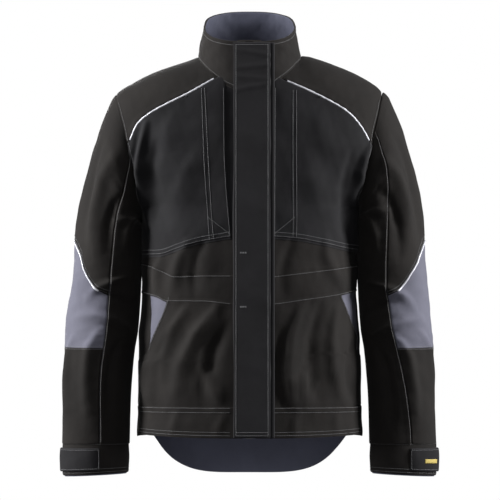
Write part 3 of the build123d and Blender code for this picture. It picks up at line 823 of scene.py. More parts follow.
def stitch_mesh(name, paths, body_name, radius=STITCH_RADIUS):
    """Rows of separate stitches along paths that lie on the cloth."""
    points = []
    faces = []
    ring = 6
    profile = ((0.0, 0.15), (0.12, 0.8), (0.5, 1.0), (0.88, 0.8), (1.0, 0.15))
    for path in paths:
        spots = resample(path, STITCH_PITCH)
        for a, b in zip(spots[:-1], spots[1:]):
            along = b - a
            length = np.linalg.norm(along)
            if length < 1e-6:
                continue
            along = along / length
            across = np.cross(along, (0.2, 0.9, 0.37))
            across /= max(np.linalg.norm(across), 1e-9)
            up = np.cross(across, along)
            start = len(points)
            for t, size in profile:
                centre = a + along * length * (0.12 + 0.76 * t)
                for k in range(ring):
                    angle = 2 * math.pi * k / ring
                    points.append(centre + radius * size * (
                        math.cos(angle) * across + math.sin(angle) * up))
            for i in range(len(profile) - 1):
                for k in range(ring):
                    n = (k + 1) % ring
                    faces.append((start + i * ring + k, start + i * ring + n,
                                  start + (i + 1) * ring + n, start + (i + 1) * ring + k))
            faces.append(tuple(start + k for k in reversed(range(ring))))
            top = start + (len(profile) - 1) * ring
            faces.append(tuple(top + k for k in range(ring)))
    piece = make_object(name, points, faces, THREAD)
    if body_name:
        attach(piece, body_name)
    return piece


def on_body(x, z, off=0.25 * MM, back=False):
    """Points on the cloth of the front or the back at signed x and z."""
    x = np.asarray(x, float)
    z = np.asarray(z, float)
    turn = turn_at(x, z)
    if back:
        turn = math.pi - turn
    return body(turn, z, off)


# ---------------------------------------------------------------- body panels


def fixed(value):
    return lambda other: value + 0 * other


def armhole_edge(z):
    """|x| where the body meets the armhole or, below the underarm, its own side."""
    half = level(z, 1)
    return np.minimum(armhole_x(z), half * 0.99999)


def below_armhole(z):
    return level(z, 1) * 0.99999


def make_fronts():
    for side, word in SIDES:
        yoke = lambda x, s=side: seam_z(YOKE_SEAM, s, x)
        hem = lambda x, s=side: seam_z(POCKET_HEM, s, x)
        waist = lambda x, s=side: seam_z(UPPER_WAIST, s, x)
        low = lambda x, s=side: seam_z(LOWER_WAIST, s, x)
        entry = lambda z, s=side: seam_x(ENTRY_EDGE, s, z)
        mouth = lambda z, s=side: seam_x(HAND_MOUTH, s, z)
        patches = [
            ("front_yoke", BROWN_BLACK, neck_z,
             lambda x, f=yoke: np.minimum(f(x), neck_z(x) - 3 * MM), fixed(FRONT_EDGE),
             armhole_edge, 0.23, 0.07, 0, 2.0, ["front_yoke"]),
            ("chest_panel", BLUE_BLACK, lambda x, f=yoke: f(x) - 1 * MM,
             lambda x, f=hem: f(x) - 3 * MM, entry, armhole_edge,
             0.17, 0.27, 0.9 * MM, 1.0, ["chest_panel", "chest_pocket_bag"]),
            ("center_strip", BLUE_BLACK, lambda x, f=yoke: f(x) - 1 * MM,
             lambda x, f=hem: f(x) - 3 * MM, fixed(FRONT_EDGE), lambda z, f=entry: f(z) + 9 * MM,
             0.045, 0.3, -1.2 * MM, 1.0, ["center_strip"]),
            ("waist_panel", BROWN_BLACK, lambda x, f=hem: f(x) + PANEL_LAP,
             lambda x, f=waist: f(x) - 6 * MM, fixed(FRONT_EDGE),
             below_armhole, 0.19, 0.075, -0.5 * MM, 1.0, ["waist_panel"]),
            ("waist_insert", BROWN_BLACK, lambda x, f=waist: f(x), lambda x, f=low: f(x) - 5 * MM,
             fixed(FRONT_EDGE), below_armhole, 0.19, 0.06, 0.5 * MM, 1.0, []),
            ("lower_front", BROWN_BLACK, lambda x, f=low: f(x), lambda x: BAND_Z - 5 * MM + 0 * x,
             fixed(FRONT_EDGE), lambda z, f=mouth, g=below_armhole: np.minimum(
                 np.where(z > HAND_MOUTH_END[0], f(z), f(z) + (HAND_MOUTH_END[0] - z) * 1.1), g(z)),
             0.16, 0.2, 0.3 * MM, 1.0, ["lower_front", "hand_pocket_bag"]),
            ("hand_facing", GREY, lambda x, f=low: f(x) + 3 * MM, lambda x: -0.62 + 0 * x,
             lambda z, f=mouth: f(z) - 12 * MM, below_armhole, 0.06, 0.15, -2.4 * MM, 1.0,
             ["hand_pocket_facing"]),
            ("side_panel", BROWN_BLACK, lambda x, f=low: f(x) + 2 * MM,
             lambda x: BAND_Z - 5 * MM + 0 * x, lambda z, s=side: seam_x(SIDE_PANEL, s, z),
             below_armhole, 0.05, 0.2, -1.6 * MM, 1.0,
             []),
            ("hem_band", BROWN_BLACK, lambda x: BAND_Z + 0 * x, hem_edge,
             fixed(FRONT_EDGE), below_armhole, 0.19, 0.06, 1.0 * MM, 1.0, ["hem_band"]),
        ]
        for (kind, material, up, down, inside, outside, width, height, off, power,
             nodes) in patches:
            name = f"{word}_{kind}_cloth"
            if kind == "front_yoke":
                piece = yoke_patch(name, material, side, up, down, FRONT_EDGE, off)
            else:
                piece = body_patch(name, material, side, up, down, inside, outside, width, height,
                                   off, power=power)
            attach(piece, "torso")
            if nodes:
                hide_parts(*[f"{word}_{node}" for node in nodes])


HAND_MOUTH_END = (-0.56, 0.19)


def hem_edge(x):
    """The front hem dips a little between the flap and the sides."""
    across = np.clip(np.abs(x) / 0.2, 0, 1)
    return HEM_Z + 5 * MM * across ** 3


TAIL_HALF = 0.182


def tail_edge(x):
    """Lower edge of the longer back, rounded up to the sides."""
    across = np.clip(np.abs(x) / TAIL_HALF, 0, 1)
    low = TAIL_Z - 8 * MM
    return low + (HEM_Z - low) * across ** 4.3


def back_yoke_z(x):
    """Seam of the back yoke, a little lower towards the sleeves."""
    return -0.150 - 0.018 * (np.abs(x) / 0.25) ** 2


def make_backs():
    for side, word in SIDES:
        pieces = [
            ("back_yoke", lambda x: neck_z(x, True),
             lambda x: np.minimum(back_yoke_z(x), neck_z(x, True)),
             fixed(0.0), armhole_edge, 0.23, 0.13, 0.6 * MM, 1.6),
            ("back_body", lambda x: back_yoke_z(x) + PANEL_LAP, lambda x: BAND_Z - 5 * MM + 0 * x,
             fixed(0.0), armhole_edge, 0.2, 0.5, -0.4 * MM, 1.0),
            ("back_band", lambda x: BAND_Z + 0 * x, lambda x: HEM_Z + 0 * x,
             fixed(0.0), below_armhole, 0.19, 0.06, 1.0 * MM, 1.0),
        ]
        for kind, up, down, inside, outside, width, height, off, power in pieces:
            if kind == "back_yoke":
                piece = yoke_patch(f"{word}_{kind}", BROWN_BLACK, side, up, down, 0.0, off, True)
            else:
                piece = body_patch(f"{word}_{kind}", BROWN_BLACK, side, up, down, inside, outside,
                                   width, height, off, back=True, power=power)
            settle(piece, "torso", "black_twill")
            if kind == "back_body" and side > 0:
                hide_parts("back_panel")
    t = np.linspace(0, 1, 20)[:, None]
    x = np.linspace(-TAIL_HALF, TAIL_HALF, 110)[None, :]
    z = HEM_Z + 8 * MM + (tail_edge(x) - HEM_Z - 8 * MM) * t
    x = x + 0 * t
    outer = body(math.pi - turn_at(x, z), z, -0.6 * MM)
    tail = cloth_patch("back_tail_cloth", outer, BROWN_BLACK, 1.2 * MM)
    settle(tail, "torso", "black_twill", "back_tail")
    inner = body(math.pi - turn_at(x, z), z, -2.2 * MM)
    facing = cloth_patch("back_tail_lining", inner, LINING, 0.7 * MM)
    settle(facing, "torso", "lining")


def make_lining():
    """One inner layer, behind every panel, from side to side round the back."""
    gap = 0.12
    turns = np.linspace(gap, 2 * math.pi - gap, 130)[None, :]
    t = np.linspace(0, 1, 110)[:, None]
    low = HEM_Z + 6 * MM
    upper = collar_bottom(turns) - 4 * MM
    z = upper + (low - upper) * t
    base = body_base(turns + 0 * t, z)
    points = body(turns + 0 * t, z, -5.0 * MM)
    keep = np.abs(base[..., 0]) < armhole_x(z) - 2 * MM
    near_shoulder = (np.abs(base[..., 0]) > 90 * MM) & (z > ridge_z(base[..., 0]) - 14 * MM)
    keep &= ~near_shoulder
    rows, columns = keep.shape
    lining = cloth_patch("body_lining_cloth", points, LINING, 0.7 * MM, roll=0.0)
    mesh = lining.data
    flat = keep.ravel()
    doubled = np.concatenate([flat, flat])
    drop = [polygon.index for polygon in mesh.polygons
            if not all(doubled[v] for v in polygon.vertices)]
    delete_faces(mesh, drop)
    settle(lining, "torso", "lining", "back_lining")


def delete_faces(mesh, drop):
    edit = bmesh.new()
    edit.from_mesh(mesh)
    edit.faces.ensure_lookup_table()
    bmesh.ops.delete(edit, geom=[edit.faces[i] for i in drop], context="FACES")
    edit.to_mesh(mesh)
    edit.free()


# ---------------------------------------------------------------- sleeves

def section_at(run):
    """Interpolated sleeve section at run 0 to 9."""
    stations = np.arange(len(SLEEVE_SECTIONS))
    return [smooth_steps(run, stations, SLEEVE_SECTIONS[:, k]) for k in range(6)]


def sleeve_base(turn, run):
    """Sleeve of the wearer's left. turn 0 is the outer side, -90 degrees the front."""
    ix, iz, ox, oz, middle, half = section_at(run)
    c = signed_power(np.cos(turn), 2 / SLEEVE_SQUARE)
    s = signed_power(np.sin(turn), 2 / SLEEVE_SQUARE)
    x = (ix + ox) / 2 + (ox - ix) / 2 * c
    z = (iz + oz) / 2 + (oz - iz) / 2 * c
    y = MID_Y + middle + half * s
    return np.stack([x, y, z], -1)


ARMHOLE_REACH = 0.13                  # about half the armhole's depth from front to back


def armhole_ring(turns, side):
    """Where rays in the armhole plane meet the body."""
    centre = (UNDERARM + SHOULDER) / 2
    along = (SHOULDER - UNDERARM) / 2

    def ray(size):
        p = centre + (size * np.cos(turns))[..., None] * along
        p[..., 1] = MID_Y + size * np.sin(turns) * ARMHOLE_REACH
        return p

    def inside(size):
        p = ray(size)
        return inside_body(p[..., 0], p[..., 1], p[..., 2])

    p = ray(bisect(np.zeros(turns.shape), np.full(turns.shape, 2.0), inside))
    p[..., 2] += shoulder_rise(p[..., 0], p[..., 2], side)
    return p


# Folds of a sleeve: turn and run at both ends, width in mm, height in mm
SLEEVE_FOLDS = {
    1: [(-1.35, 0.8, -0.95, 3.0, 15, 7), (-0.70, 0.8, -0.45, 3.2, 14, -5),
        (-1.75, 1.2, -1.35, 3.6, 12, -5), (-0.15, 1.4, -0.1, 3.4, 16, 5),
        (-2.4, 1.6, -2.0, 3.6, 10, 4), (-2.7, 1.6, -1.5, 2.3, 8, 4),
        (-2.3, 4.6, -1.0, 5.4, 9, 5), (-2.5, 5.6, -1.3, 5.2, 8, -4), (-2.3, 6.3, -0.8, 5.7, 9, 5),
        (-0.8, 6.2, -0.3, 8.3, 15, 4), (-1.6, 6.4, -1.2, 8.6, 14, 5),
        (-2.2, 6.8, -1.9, 8.7, 12, -4),
        (0.9, 1.0, 1.2, 3.5, 16, 5), (1.7, 1.2, 1.9, 3.6, 14, -4), (2.5, 1.6, 2.4, 3.6, 12, 4),
        (0.8, 4.5, 2.0, 5.2, 12, 4), (1.0, 6.2, 1.3, 8.5, 15, 4), (2.0, 6.4, 2.2, 8.6, 14, -4)],
    -1: [(-1.25, 0.8, -1.05, 3.3, 17, 7), (-0.65, 0.9, -0.6, 3.0, 13, -5),
         (-1.80, 1.4, -1.55, 3.5, 12, -5), (-0.1, 1.2, -0.25, 3.5, 15, 5),
         (-2.5, 1.5, -2.1, 3.4, 10, 5), (-2.8, 1.9, -1.7, 2.5, 8, 4),
         (-2.2, 4.4, -1.1, 5.1, 9, 5), (-2.4, 5.3, -1.2, 5.0, 8, -4), (-2.4, 6.0, -0.9, 5.6, 9, 5),
         (-0.7, 6.4, -0.5, 8.4, 14, 5), (-1.5, 6.1, -1.35, 8.4, 15, 5),
         (-2.1, 6.6, -2.0, 8.6, 12, -4),
         (1.0, 1.1, 1.1, 3.4, 16, 5), (1.8, 1.2, 1.8, 3.5, 14, -4), (2.4, 1.6, 2.5, 3.5, 12, 4),
         (0.9, 4.4, 2.1, 5.0, 12, 4), (0.9, 6.1, 1.4, 8.4, 15, 4), (2.1, 6.5, 2.1, 8.5, 14, -4)],
}
# How far the outer side of each sleeve stands out beyond its sections, in mm at falling z
SLEEVE_SPREAD = {
    -1: [(-80, 5), (-130, 5.5), (-165, 3), (-220, 0), (-350, 0), (-430, 2), (-515, 6), (-560, 3),
         (-650, 2.5), (-725, 1)],
    1: [(-80, 8), (-130, 9), (-220, 7), (-280, 5), (-400, 3), (-500, 1.5), (-650, 0), (-725, 0)],
}
GIRTH_STEP = 70 * MM                  # arc length of one radian round the sleeve
RUN_STEP = 65 * MM                    # length of one section step


# Front seam of the sleeve's outer strip in mm: |x|, z of the hanging sleeve
FRONT_SEAM_POINTS = {
    -1: [(206, -110), (218, -165), (224.8, -216.5), (234.4, -262.7), (247.5, -309), (254.6, -371.9),
         (258, -412.6), (260.5, -453.3), (264, -506.9), (271, -555), (276.6, -600), (278.4, -727)],
    1: [(238, -120), (244, -160), (247, -198), (256, -253.5), (255.5, -340), (255, -444),
        (263, -500),
        (275, -555), (293.2, -647.5), (301, -724)],
}
# Upper edge of the grey elbow panel in mm, as |x|, z from its inner corner to the outer side
PANEL_TOP_POINTS = {
    -1: [(262, -454), (279.4, -445.9), (286.6, -440), (296, -427), (307.3, -405.7), (312.5, -382)],
    1: [(258, -455), (274.7, -445.9), (289.5, -429.2), (298, -414), (306, -399.6), (314, -378)],
}
PANEL_TOP_BEHIND = [(0.0, -0.353), (0.8, -0.375), (1.5, -0.43), (2.1, -0.452)]    # turn, z


def places_on_sleeve(points):
    """turn and run of the sleeve's front at each |x|, z in mm."""
    turns = np.linspace(-2.9, -0.12, 500)[None, :]
    runs = np.linspace(0, 9, 900)[:, None]
    surface = sleeve_base(turns + 0 * runs, runs + 0 * turns)
    found = []
    for x, z in points:
        miss = (surface[..., 0] - x * MM) ** 2 + (surface[..., 2] - z * MM) ** 2
        row, column = np.unravel_index(np.argmin(miss), miss.shape)
        found.append((float(turns[0, column]), float(runs[row, 0])))
    return found


FRONT_SEAM = {}
for side_sign, points in FRONT_SEAM_POINTS.items():
    placed = places_on_sleeve(points)
    first, last = placed[0][0], placed[-1][0]
    FRONT_SEAM[side_sign] = [(first, -0.1)] + placed + [(last, 9.1)]
BACK_SEAM = {side_sign: [(2.05, 0.0), (2.0, 3.0), (1.95, 5.0), (1.9, 7.0), (1.85, 9.0)]
             for side_sign in (-1, 1)}


def seam_turn(table, side, run):
    stations = table[side]
    return smooth_steps(run, [s[1] for s in stations], [s[0] for s in stations])


def between_seams(side, runs, shares):
    """turn at each share of the way from the sleeve's front seam to its back seam."""
    a = seam_turn(FRONT_SEAM, side, runs)
    b = seam_turn(BACK_SEAM, side, runs)
    return a + (b - a) * shares


def wrapped(turn):
    return (turn + math.pi) % (2 * math.pi) - math.pi


def sleeve_height(turn, run, side):
    turn = wrapped(turn)
    u = turn * GIRTH_STEP
    v = run * RUN_STEP
    height = 1.6 * MM * ripple(u, v, 0.11, 3.0 + side) + 0.5 * MM * ripple(u, v, 0.04, 4.0 + side)
    for t0, r0, t1, r1, width, size in SLEEVE_FOLDS[side]:
        height += fold_height(u, v, (
            t0 * GIRTH_STEP / MM, r0 * RUN_STEP / MM, t1 * GIRTH_STEP / MM, r1 * RUN_STEP / MM,
            width, 1.35 * size))
    height *= np.clip(run / 0.8, 0, 1) * np.clip((9.0 - run) / 0.8, 0.15, 1)
    height *= np.clip((math.pi - np.abs(turn)) / 0.4, 0, 1)
    for table in (FRONT_SEAM, BACK_SEAM):
        offset = wrapped(turn - seam_turn(table, side, run)) * GIRTH_STEP
        inner = -offset if table is FRONT_SEAM else offset
        height -= 0.9 * MM * np.exp(-(offset / (1.4 * MM)) ** 2)
        height += 0.8 * MM * np.clip(inner / (1.5 * MM), 0, 1) * np.clip(
            (9 * MM - inner) / (2 * MM), 0, 1)
        height += 0.5 * MM * np.exp(-np.abs(offset) / (9 * MM)) * np.sin(
            2 * math.pi * v / (17 * MM) + 2 * np.sin(v / (29 * MM)))
    return height


def sleeve(turn, run, side, off=0.0):
    """Points of the sleeve's cloth. side +1 is the wearer's left."""
    base = sleeve_base(turn, run)
    normal = -normals_of(sleeve_base, turn, run, 0.004, 0.004)
    points = base + normal * (sleeve_height(turn, run, side) + off)[..., None]
    ring = armhole_ring(turn, side)
    near = np.clip(run / 0.85, 0, 1)
    near = near * near * (3 - 2 * near)
    joined = ring + normal * off[..., None] if np.ndim(off) else ring + normal * off
    points = joined * (1 - near[..., None]) + points * near[..., None]
    spread = np.array(SLEEVE_SPREAD[side], float)[::-1] * MM
    outer_side = (0.5 + 0.5 * np.cos(turn)) ** 1.5
    points[..., 0] += smooth_steps(points[..., 2], spread[:, 0], spread[:, 1]) * outer_side * (
        np.clip(run / 0.35, 0, 1))
    points[..., 2] += 0.6 * smooth_steps(points[..., 2], spread[:, 0], spread[:, 1]) * (
        outer_side * np.clip(run / 0.35, 0, 1) * np.clip(1.6 - run, 0, 1))
    points[..., 0] *= side
    return points


def mapped_sleeve_patch(name, material, side, turns, runs, off, thickness=CLOTH, closed=False):
    points = sleeve(turns, runs, side, off)
    core = (side * 0.262, MID_Y)
    return cloth_patch(name, points, material, thickness, closed=closed, core=core)


def elbow_run(z):
    """Section number of the level height z below the upper arm's tilted sections."""
    levels = SLEEVE_SECTIONS[4:, 1]
    return 4 + np.interp(-z, -levels, np.arange(len(levels)))


PANEL_BOTTOM = elbow_run(-0.550)


def run_at_height(turn, z):
    """Section number at which the sleeve at this turn has the height z."""
    low = np.zeros(np.shape(z)) + 0 * turn
    return bisect(low, low + 9.0, lambda run: sleeve_base(turn, run)[..., 2] > z)


LINING_RUN = 4.03                     # the sleeve lining starts below the shoulder's bend


def make_sleeves():
    for side, word in SIDES:
        shares = spaced(0.30, 4 * MM)
        parts = []

        def outer_turns(runs, shares=shares, side=side):
            return between_seams(side, runs, shares[None, :])

        def inner_turns(runs, side=side):
            count = spaced(0.24, 4.5 * MM)
            a = seam_turn(FRONT_SEAM, side, runs)
            b = seam_turn(BACK_SEAM, side, runs) - 2 * math.pi
            return a + (b - a) * count[None, ::-1]

        def strip(name, start, end, turns_of, off, material):
            length = 0.065 * float(np.mean(end - start))
            t = spaced(length, 4 * MM)[:, None]
            runs = start + (end - start) * t
            return mapped_sleeve_patch(name, material, side, turns_of(runs), runs, off)

        corner_places = places_on_sleeve(PANEL_TOP_POINTS[side])
        edge_turns = [turn for turn, _ in corner_places] + [turn for turn, _ in PANEL_TOP_BEHIND]
        edge_z = [z * MM for _, z in PANEL_TOP_POINTS[side]] + [z for _, z in PANEL_TOP_BEHIND]
        panel_run = np.full(shares.shape, 4.5)
        for _ in range(8):
            turn = between_seams(side, panel_run, shares)
            panel_run = run_at_height(turn, smooth_steps(turn, edge_turns, edge_z))
        panel_run = panel_run[None, :]
        bottom_run = np.full(panel_run.shape, PANEL_BOTTOM)
        top_run = np.zeros(panel_run.shape)
        end_run = np.full(panel_run.shape, 9.0)
        overlap = 0.10
        parts.append((strip(f"{word}_sleeve_outer", top_run, panel_run + overlap, outer_turns,
                            -0.4 * MM, BROWN_BLACK), "black_twill",
                      [f"{word}_upper_sleeve_front"]))
        parts.append((strip(f"{word}_elbow_panel", panel_run, bottom_run + overlap, outer_turns,
                            0.5 * MM, GREY), "grey_twill",
                      [f"{word}_elbow_panel_top", f"{word}_elbow_panel_bottom"]))
        parts.append((strip(f"{word}_forearm_outer", bottom_run, end_run, outer_turns,
                            0.3 * MM, BROWN_BLACK), "black_twill", [f"{word}_forearm_front"]))
        inner_count = len(spaced(0.24, 4.5 * MM))
        zero = np.zeros((1, inner_count))
        parts.append((strip(f"{word}_sleeve_inner", zero, zero + 9.0, inner_turns,
                            0.6 * MM, BROWN_BLACK), "black_twill",
                      [f"{word}_upper_sleeve_back", f"{word}_forearm_back"]))
        ring = np.linspace(0, 2 * math.pi, 72, endpoint=False)[None, :] + np.zeros((52, 1))
        runs = np.linspace(LINING_RUN, 8.9, 52)[:, None] + 0 * ring
        parts.append((mapped_sleeve_patch(f"{word}_sleeve_lining", LINING, side, ring, runs,
                                          -7.0 * MM, 0.8 * MM, closed=True), "lining", []))
        for piece, slot, nodes in parts:
            split_and_blend(piece)
            if nodes:
                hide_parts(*nodes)
        turns = between_seams(side, panel_run[0], shares)
        kept = turns > corner_places[1][0]
        path = sleeve(turns[kept], panel_run[0][kept], side, 0.9 * MM)
        path = resample(path, 3 * MM)
        piping = tube_mesh(f"{word}_elbow_cord", path, 1.6 * MM, PIPING, taper=0.4)
        settle(piping, f"{word}_upper_sleeve", "reflective_piping", f"{word}_elbow_piping")
        sleeve_stitches(side, word, shares, panel_run[0])


def split_and_blend(piece):
    """Bake the piece's transform into its mesh, after splitting it at SPLIT_Z into an upper and a
    lower object when it reaches from above that height to the elbow.
    """
    heights = np.array([v.co.z for v in piece.data.vertices])
    if heights.min() > ELBOW_Z + 0.02:
        blend_shoulder(piece)
        return
    if heights.max() < SPLIT_Z:
        blend_elbow(piece)
        return
    lower = piece.copy()
    lower.data = piece.data.copy()
    lower.name = piece.name + "_low"
    bpy.context.scene.collection.objects.link(lower)
    for target, keep_upper in ((piece, True), (lower, False)):
        mesh = target.data
        z = np.array([v.co.z for v in mesh.vertices])
        drop = []
        for polygon in mesh.polygons:
            middle = float(np.mean([z[v] for v in polygon.vertices]))
            if (middle > SPLIT_Z) != keep_upper:
                drop.append(polygon.index)
        delete_faces(mesh, drop)
    blend_shoulder(piece)
    blend_elbow(lower)


SPLIT_Z = -0.396                      # below the shoulder's bend and above the elbow's


def blend_shoulder(piece):
    """Bake the piece's transform into its mesh."""
    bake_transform(piece)


def blend_elbow(piece):
    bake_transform(piece)


def sleeve_stitches(side, word, shares, panel_run):
    """Topstitch rows beside the sleeve seams and round the elbow panel."""
    high = []
    low = []
    split = float(run_at_height(np.array(-1.6), np.array(SPLIT_Z)))
    for table, sign, gaps in ((FRONT_SEAM, -1, (2.2 * MM,)), (BACK_SEAM, 1, (2.2 * MM, 8.2 * MM))):
        for gap in gaps:
            for store, a, b in ((high, 0.25, split), (low, split, 8.95)):
                runs = np.linspace(a, b, 160)
                turn = seam_turn(table, side, runs) + sign * gap / GIRTH_STEP
                store.append(sleeve(turn, runs, side, 0.8 * MM))
    for gap in (3.5 * MM, 9.5 * MM):
        turn = between_seams(side, panel_run, shares)
        low.append(sleeve(turn, panel_run - gap / RUN_STEP, side, 0.0))
    for gap in (2 * MM, 8 * MM):
        runs = PANEL_BOTTOM + gap / RUN_STEP + 0 * shares
        low.append(sleeve(between_seams(side, runs, shares), runs, side, 0.6 * MM))
    above = stitch_mesh(f"{word}_sleeve_stitches", high, None)
    blend_shoulder(above)
    below = stitch_mesh(f"{word}_forearm_stitches", low, None)
    blend_elbow(below)


# ---------------------------------------------------------------- cuffs

CUFF_MID = (286.5 * MM, MID_Y - 18 * MM)
CUFF_HALF = (61.5 * MM, 49 * MM)
CUFF_TILT = 0.05                      # the lower edge hangs lower on the outer side


def cuff_surface(turn, z, off=0.0):
    share = (z - CUFF_LOW[2]) / (CUFF_HIGH[2] - CUFF_LOW[2])
    bulge = 1.2 * MM * np.sin(math.pi * np.clip(share, 0, 1))
    wave = 0.9 * MM * np.sin(3 * turn + 0.6) + 0.6 * MM * ripple(turn * 0.055, z, 0.05, 8.0)
    half_x = CUFF_HALF[0] + bulge + wave + off
    half_y = CUFF_HALF[1] + bulge + wave + off
    x = CUFF_MID[0] + half_x * signed_power(np.cos(turn), 2 / SLEEVE_SQUARE)
    y = CUFF_MID[1] + half_y * signed_power(np.sin(turn), 2 / SLEEVE_SQUARE)
    sag = CUFF_TILT * (x - CUFF_MID[0] + 0.045) * np.clip(1 - share, 0, 1)
    return np.stack([x, y, z - sag], -1)


def mirrored(points, side):
    points = np.array(points)
    points[..., 0] *= side
    return points


def make_cuffs():
    top, bottom = CUFF_HIGH[2] + 3 * MM, CUFF_LOW[2]
    for side, word in SIDES:
        fore = f"{word}_forearm"
        turns = np.linspace(0, 2 * math.pi, 110, endpoint=False)[None, :]
        t = spaced(top - bottom, 3.5 * MM)[:, None]
        z = top + (bottom - top) * t + 0 * turns
        points = mirrored(cuff_surface(turns + 0 * z, z, 0.0), side)
        core = (side * CUFF_MID[0], CUFF_MID[1])
        band = cloth_patch(f"{word}_cuff_cloth", points, BROWN_BLACK, 3.2 * MM, closed=True,
                           roll=0.35, core=core)
        settle(band, fore, "black_twill", f"{word}_cuff")
        inner = mirrored(cuff_surface(turns + 0 * z, z + (2 * MM) * (1 - 2 * t), -3.4 * MM), side)
        facing = cloth_patch(f"{word}_cuff_lining", inner, LINING, 0.7 * MM, closed=True,
                             core=core)
        settle(facing, fore, "lining")
        rows = []
        for height, off in ((top - 3 * MM, 0.2 * MM), (bottom + 4 * MM, 0.2 * MM),
                            (bottom + 10 * MM, 0.2 * MM)):
            ring = np.linspace(0, 2 * math.pi, 300)
            rows.append(mirrored(cuff_surface(ring, height + 0 * ring, off), side))
        stitch_mesh(f"{word}_cuff_stitches", rows, fore)
        make_tab(side, word)


def tab_turn(x, off):
    """turn on the cuff's front at |x|."""
    c = np.clip((x - CUFF_MID[0]) / (CUFF_HALF[0] + off), -1, 1)
    return -np.arccos(signed_power(c, SLEEVE_SQUARE / 2))


TAB_SEWN = {-1: 281 * MM, 1: 302 * MM}     # |x| of the tab's seam on each cuff
TAB_HINGE_X = JOINTS["left_tab_swing"]["pos_m"][0]


def bend_tab(piece):
    """Bake the tab's transform into its mesh."""
    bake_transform(piece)


def make_tab(side, word):
    """Fastening tab from its seam round the outer side of the cuff."""
    body_name = f"{word}_cuff_tab"
    low, high = TAB_LOW[2], TAB_HIGH[2]
    off = 4.2 * MM
    start = float(tab_turn(TAB_SEWN[side] - 3 * MM, off))
    hinge_turn = float(tab_turn(TAB_HINGE_X, off))
    end = 0.5
    s = spaced(0.12, 3 * MM)[None, :]
    t = spaced(high - low, 3 * MM)[:, None]
    turns = start + (end - start) * s + 0 * t
    round_off = np.clip((s - 0.86) / 0.14, 0, 1) ** 2 * 5 * MM
    z = high - round_off + (low - high + 2 * round_off) * t
    lift = off - 2.2 * MM * np.clip(1 - s / 0.12, 0, 1) ** 2 + 0.5 * MM * ripple(
        turns * 0.06, z, 0.04, 9.0)
    points = mirrored(cuff_surface(turns, z, lift), side)
    core = (side * CUFF_MID[0], CUFF_MID[1])
    tab = cloth_patch(f"{word}_tab_cloth", points, BLUE_BLACK, 2.2 * MM, roll=0.45, core=core)
    bend_tab(tab)
    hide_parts(f"{word}_cuff_tab")
    edge = 3.2 * MM
    inset = edge / 0.057
    path = []
    for a, b in (((start + 0.03, high - edge), (end - inset, high - edge)),
                 ((end - inset, high - edge), (end - inset, low + edge)),
                 ((end - inset, low + edge), (start + 0.03, low + edge)),
                 ((start + 0.03, low + edge), (start + 0.03, high - edge))):
        share = np.linspace(0, 1, 40)
        turn = a[0] + (b[0] - a[0]) * share
        path.append(mirrored(cuff_surface(turn, a[1] + (b[1] - a[1]) * share, off + 0.2 * MM),
                             side))
    rows = stitch_mesh(f"{word}_tab_stitches", path, None)
    bend_tab(rows)
    for node, material, inward, lift_pad in (("tab_hook_pad", TAPE, 1.0 * MM, 1.9 * MM),
                                             ("cuff_loop_pad", TAPE, 0.7 * MM, 0.9 * MM)):
        where = np.linspace(hinge_turn + 0.25, end - 0.12, 24)[None, :]
        height = np.linspace(high - 7 * MM, low + 7 * MM, 10)[:, None]
        pad = cuff_surface(where + 0 * height, height + 0 * where, lift_pad)
        piece = cloth_patch(f"{word}_{node}_pile", mirrored(pad, side), material, inward,
                            roll=0.6, core=core)
        rides = body_name if node == "tab_hook_pad" else f"{word}_forearm"
        settle(piece, rides, "black_tape", f"{word}_{node}")
    if side > 0:
        a = float(tab_turn(TAG_LOW[0], off))
        b = float(tab_turn(min(TAG_HIGH[0], CUFF_MID[0] + CUFF_HALF[0]), off))
        where = np.linspace(a, max(b, a + 0.35), 16)[None, :]
        height = np.linspace(TAG_HIGH[2], TAG_LOW[2], 7)[:, None]
        tag = cuff_surface(where + 0 * height, height + 0 * where, off + 1.0 * MM)
        piece = cloth_patch("cuff_tag", tag, TAG, 0.8 * MM, roll=0.4, core=core)
        settle(piece, body_name, "yellow_tag", "blank_tag")


# ---------------------------------------------------------------- flap, zip, trims


def on_front(u, v, w):
    """Point at x = u, v below the top of the centre front and w in front of its line."""
    u, v, w = np.broadcast_arrays(u, v, w)
    y = MID_Y - TOP_DEPTH - v * math.sin(LEAN) - w * math.cos(LEAN)
    z = TOP_Z - v * math.cos(LEAN) + w * math.sin(LEAN)
    return np.stack([u + 0.0, y, z], -1)


FLAP_FREE_X = -30 * MM
FLAP_LIFT = 7.0 * MM
PAD_COUNT, PAD_TOP, PAD_STEP, PAD_LENGTH = 6, 50 * MM, 123 * MM, 30 * MM
TACK_PLACES = (391 * MM, 491 * MM)    # bar tacks, below the top of the centre front
TAPE_LENGTH, TAPE_WIDTH = 731 * MM, 13 * MM
GUARD_LENGTH, GUARD_WIDTH = 738 * MM, 44 * MM


